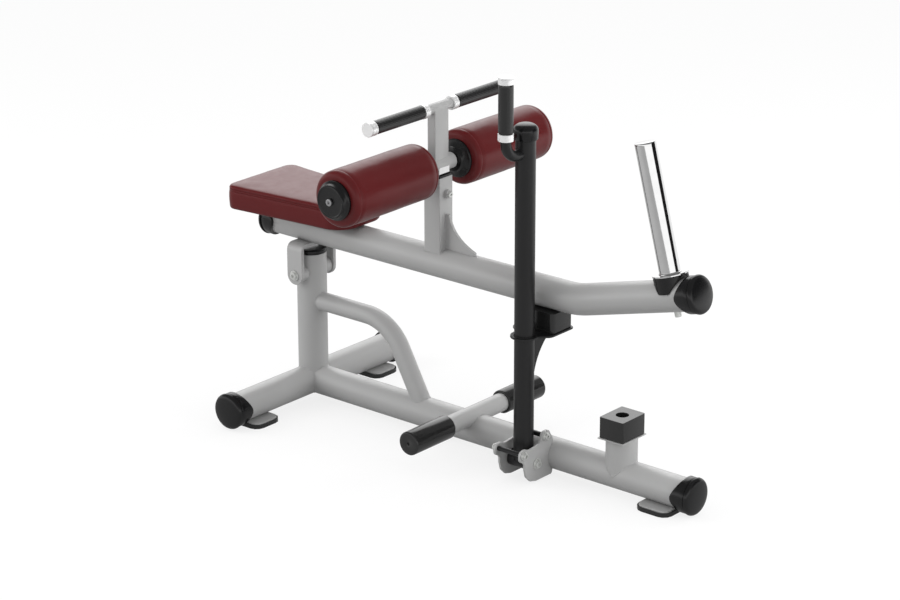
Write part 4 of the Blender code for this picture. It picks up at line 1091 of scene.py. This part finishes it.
def roller_profile():
    """Round one roller's pad: its inner end, a seam, its side, the other seam and its outer end."""
    near, far, radius, edge = ROLLER_NEAR, ROLLER_FAR, ROLLER_R, ROLLER_EDGE
    steps, rows = 8, 24
    profile = [(ROLLER_CORE_R, near), (0.040, near - 0.0002), (radius - edge, near)]
    for i in range(1, steps + 1):
        turn = math.pi / 2 * i / steps
        profile.append((radius - edge + edge * math.sin(turn), near + edge - edge * math.cos(turn)))
    inner_seam, outer_seam = near + edge + 0.0015, far - edge - 0.0015
    profile += [(radius - 0.0006, inner_seam), (radius + 0.0001, inner_seam + 0.0010)]
    for i in range(1, rows):
        profile.append((radius + 0.0002, near + (far - near) * (0.07 + 0.86 * i / rows)))
    profile += [(radius + 0.0001, outer_seam - 0.0010), (radius - 0.0006, outer_seam)]
    for i in range(steps):
        turn = math.pi / 2 * i / steps
        profile.append((radius - edge + edge * math.cos(turn), far - edge + edge * math.sin(turn)))
    return profile + [(radius - edge, far), (0.040, far + 0.0002), (ROLLER_CORE_R, far)]


def make_roller(name, sign):
    """A padded roller with slight slack in its vinyl, and its two hubs."""
    out = LEFT * sign
    middle = at(UPRIGHT_X, 0, ROLLER_Z)
    shape = bmesh.new()
    revolve(shape, roller_profile(), middle, out, 128, ring=True)
    for corner in shape.verts:
        outward = corner.co - middle
        outward.y = 0
        if outward.length > 0.05:
            slack = noise.noise(corner.co * 16) * 0.0006 + noise.noise(corner.co * 60) * 0.0002
            corner.co += outward.normalized() * slack
    pad = piece(shape, name + "_padded", name + "_pad", smooth_angle=75)
    outer = [(radius, ROLLER_FAR + reach) for radius, reach in OUTER_HUB]
    inner = [(radius, ROLLER_NEAR - reach) for radius, reach in INNER_HUB]
    for hub, profile in (("_outer_hub", outer), ("_inner_hub", inner)):
        turned(name + hub + "_fine", name + hub, profile, middle, out)


def make_axle():
    middle, half, screw_seat, screw_radius = at(UPRIGHT_X, 0, ROLLER_Z), 0.384, 0.3877, 0.0040
    shape = bmesh.new()
    sweep(shape, [middle - LEFT * half, middle + LEFT * half], 0.0125, SMALL_ROUND)
    for sign in (-1, 1):
        out = LEFT * sign
        revolve(shape, [(screw_radius, 0.375), (screw_radius, 0.388)], middle, out, SMALL_ROUND)
        cap_head(shape, middle + out * screw_seat, out, 0.0085, 0.0046, 0.0032)
    piece(shape, "axle_fine", "roller_axle", smooth_angle=40)


def ribbed(turn, radius):
    """The radius of a grip at an angle, which dips between fine lengthwise ribs."""
    return radius - GRIP_RIB_DEPTH * (0.5 - 0.5 * math.cos(GRIP_RIBS * turn)) ** 2


def grip(name, node, start, direction, near, far, bore, radius):
    """A rubber grip with fine lengthwise ribs and plain soft ends."""
    end = [(bore, 0), (radius - 0.0022, 0), (radius - 0.0010, 0.0005), (radius - 0.0004, 0.0020)]
    end += [(radius, 0.0050), (lambda turn: ribbed(turn, radius), 0.0075)]
    profile = [(size, near + reach) for size, reach in end]
    profile += [(size, far - reach) for size, reach in reversed(end)]
    turned(name, node, profile, start, direction, GRIP_SIDES)


def collar(name, node, start, direction, near, far, bore, radius, closed=False):
    """A turned collar with fine grooves; a closed one ends in a disc, set off by a deep groove."""
    edge = 0.0008
    length = far - near
    if closed:
        grooves = ((near + length * 0.40, 0.0005), (far - 0.0036, 0.0030))
    else:
        grooves = ((near + length * 0.34, 0.0005), (near + length * 0.66, 0.0005))
    profile = [(bore, near), (radius - edge, near), (radius, near + edge)]
    for middle, depth in grooves:
        profile += [(radius, middle - 0.0009), (radius - depth, middle - 0.0006)]
        profile += [(radius - depth, middle + 0.0006), (radius, middle + 0.0009)]
    profile += [(radius, far - edge), (radius - edge, far), (0 if closed else bore, far)]
    turned(name, node, profile, start, direction, smooth_angle=30)


def make_handle():
    middle, ring, gap = at(UPRIGHT_X, 0, HANDLE_Z), (HANDLE_R, 0.0175), 0.0003
    start, near, far, end = 0.0445, 0.061, 0.233, 0.255
    for side, sign in (("near", -1), ("far", 1)):
        out = LEFT * sign
        grip(side + "_grip_fine", side + "_grip", middle, out, near + gap, far - gap, HANDLE_R, 0.0167)
        collar(side + "_ring_fine", side + "_inner_collar", middle, out, start, near, *ring)
        collar(side + "_plug_fine", side + "_end_collar", middle, out, far, end, *ring, closed=True)


# Safety lever

LEVER_HUB_R = 0.021
LEVER_HUB_HALF = 0.0342
LEVER_SHELF_WELDS = (0.3630, 0.3676)
LEVER_CAP_RIM = 0.8492
LEVER_CAP = [(0.02445, 0), (0.0284, 0), (0.0290, 0.0006), (0.0298, 0.0165), (0.0298, 0.0215)]
LEVER_CAP += [(0.0292, 0.0250), (0.0278, 0.0284), (0.0256, 0.0310), (0.0225, 0.0335), (0.0185, 0.0357)]
LEVER_CAP += [(0.0130, 0.0371), (0.0060, 0.0379), (0, 0.0380)]


def make_lever():
    """The lever with its hub and its J handle, its welds and its cap."""
    foot, top = at(LEVER_X, LEVER_Y, LEVER_Z), at(LEVER_X, LEVER_Y, LEVER_TOP)
    start, corner = at(LEVER_X, LEVER_Y - 0.014, J_Z), at(LEVER_X, J_Y, J_Z)
    handle = filleted([start, corner, at(LEVER_X, J_Y, J_GRIP_TOP + 0.012)], 0.0405)
    shape = bmesh.new()
    sweep(shape, [foot, top], LEVER_R)
    hub_sleeve(shape, foot, FORWARD, PIN_BORE, LEVER_HUB_R, LEVER_HUB_HALF)
    sweep(shape, handle, J_R, SMALL_ROUND)
    piece(shape, "lever_fine", "lever_tube")
    shape = bmesh.new()
    bead(shape, tube_crossing(corner, LEFT, J_R, foot, UP, LEVER_R, side=-1, count=90), 0.0011)
    for height in LEVER_SHELF_WELDS:
        bead(shape, circle_line(at(LEVER_X, LEVER_Y, height), LEVER_R + 0.0004), 0.0013)
    hub = (foot, FORWARD, LEVER_HUB_R + 0.0001)
    bead(shape, tube_crossing(foot + UP * 0.1, UP, LEVER_R, *hub, count=120), 0.0011)
    extra(shape, "lever_welds", "lever", "black_paint")
    turned("lever_cap_fine", "lever_cap", LEVER_CAP, at(LEVER_X, LEVER_Y, LEVER_CAP_RIM), UP)


def make_lever_grip():
    base = at(LEVER_X, J_Y, 0)
    low, high, length = J_GRIP_LOW, J_GRIP_TOP, 0.017
    bore, gap = 0.0131, 0.0003
    ring = (bore, 0.0185)
    grip("lever_grip_fine", "lever_grip", base, UP, low + gap, high - gap, bore, 0.0178)
    collar("lever_ring_fine", "lever_grip_lower_collar", base, UP, low - length, low, *ring)
    collar("lever_plug_fine", "lever_grip_top_collar", base, UP, high, high + length, *ring, closed=True)


# Solids whose own shape is fine enough, with the width of their softened edges, 0 for none
DRESSED = {
    "pivot_bush": 0,
    "lever_bush": 0,
    "near_roller_core": 0,
    "far_roller_core": 0,
    "stop_block": 0.0010,
    "stop_block_bolt": 0,
    "rear_bracket_plate": 0.0009,
    "front_bracket_plate": 0.0009,
    "front_foot_pad": 0.0010,
    "near_foot_pad": 0.0010,
    "far_foot_pad": 0.0010,
    "pivot_clevis": 0.0012,
    "seat_plate": 0.0005,
    "lower_upright": 0.0008,
    "guide_collar": 0.0005,
    "clamp_screw": 0,
    "horn_saddle": 0.0012,
    "slide_tube": 0.0005,
    "carriage_head": 0.0008,
    "lever_shelf": 0.0008,
    "rest_block": 0.0010,
}


def make_machine():
    make_base()
    make_cross()
    make_post()
    make_brace()
    make_foot_bar()
    make_end_caps()
    make_stop_post()
    make_bolts()
    make_frame_welds()
    make_arm()
    make_seat()
    make_horn()
    make_arm_welds()
    make_roller("near_roller", -1)
    make_roller("far_roller", 1)
    make_axle()
    make_handle()
    make_lever()
    make_lever_grip()
    for node, edge in DRESSED.items():
        dressed(node, edge)


bpy.context.scene.view_settings.view_transform = "Standard"
make_camera()
make_floor()
make_world()
make_lamps()
make_machine()
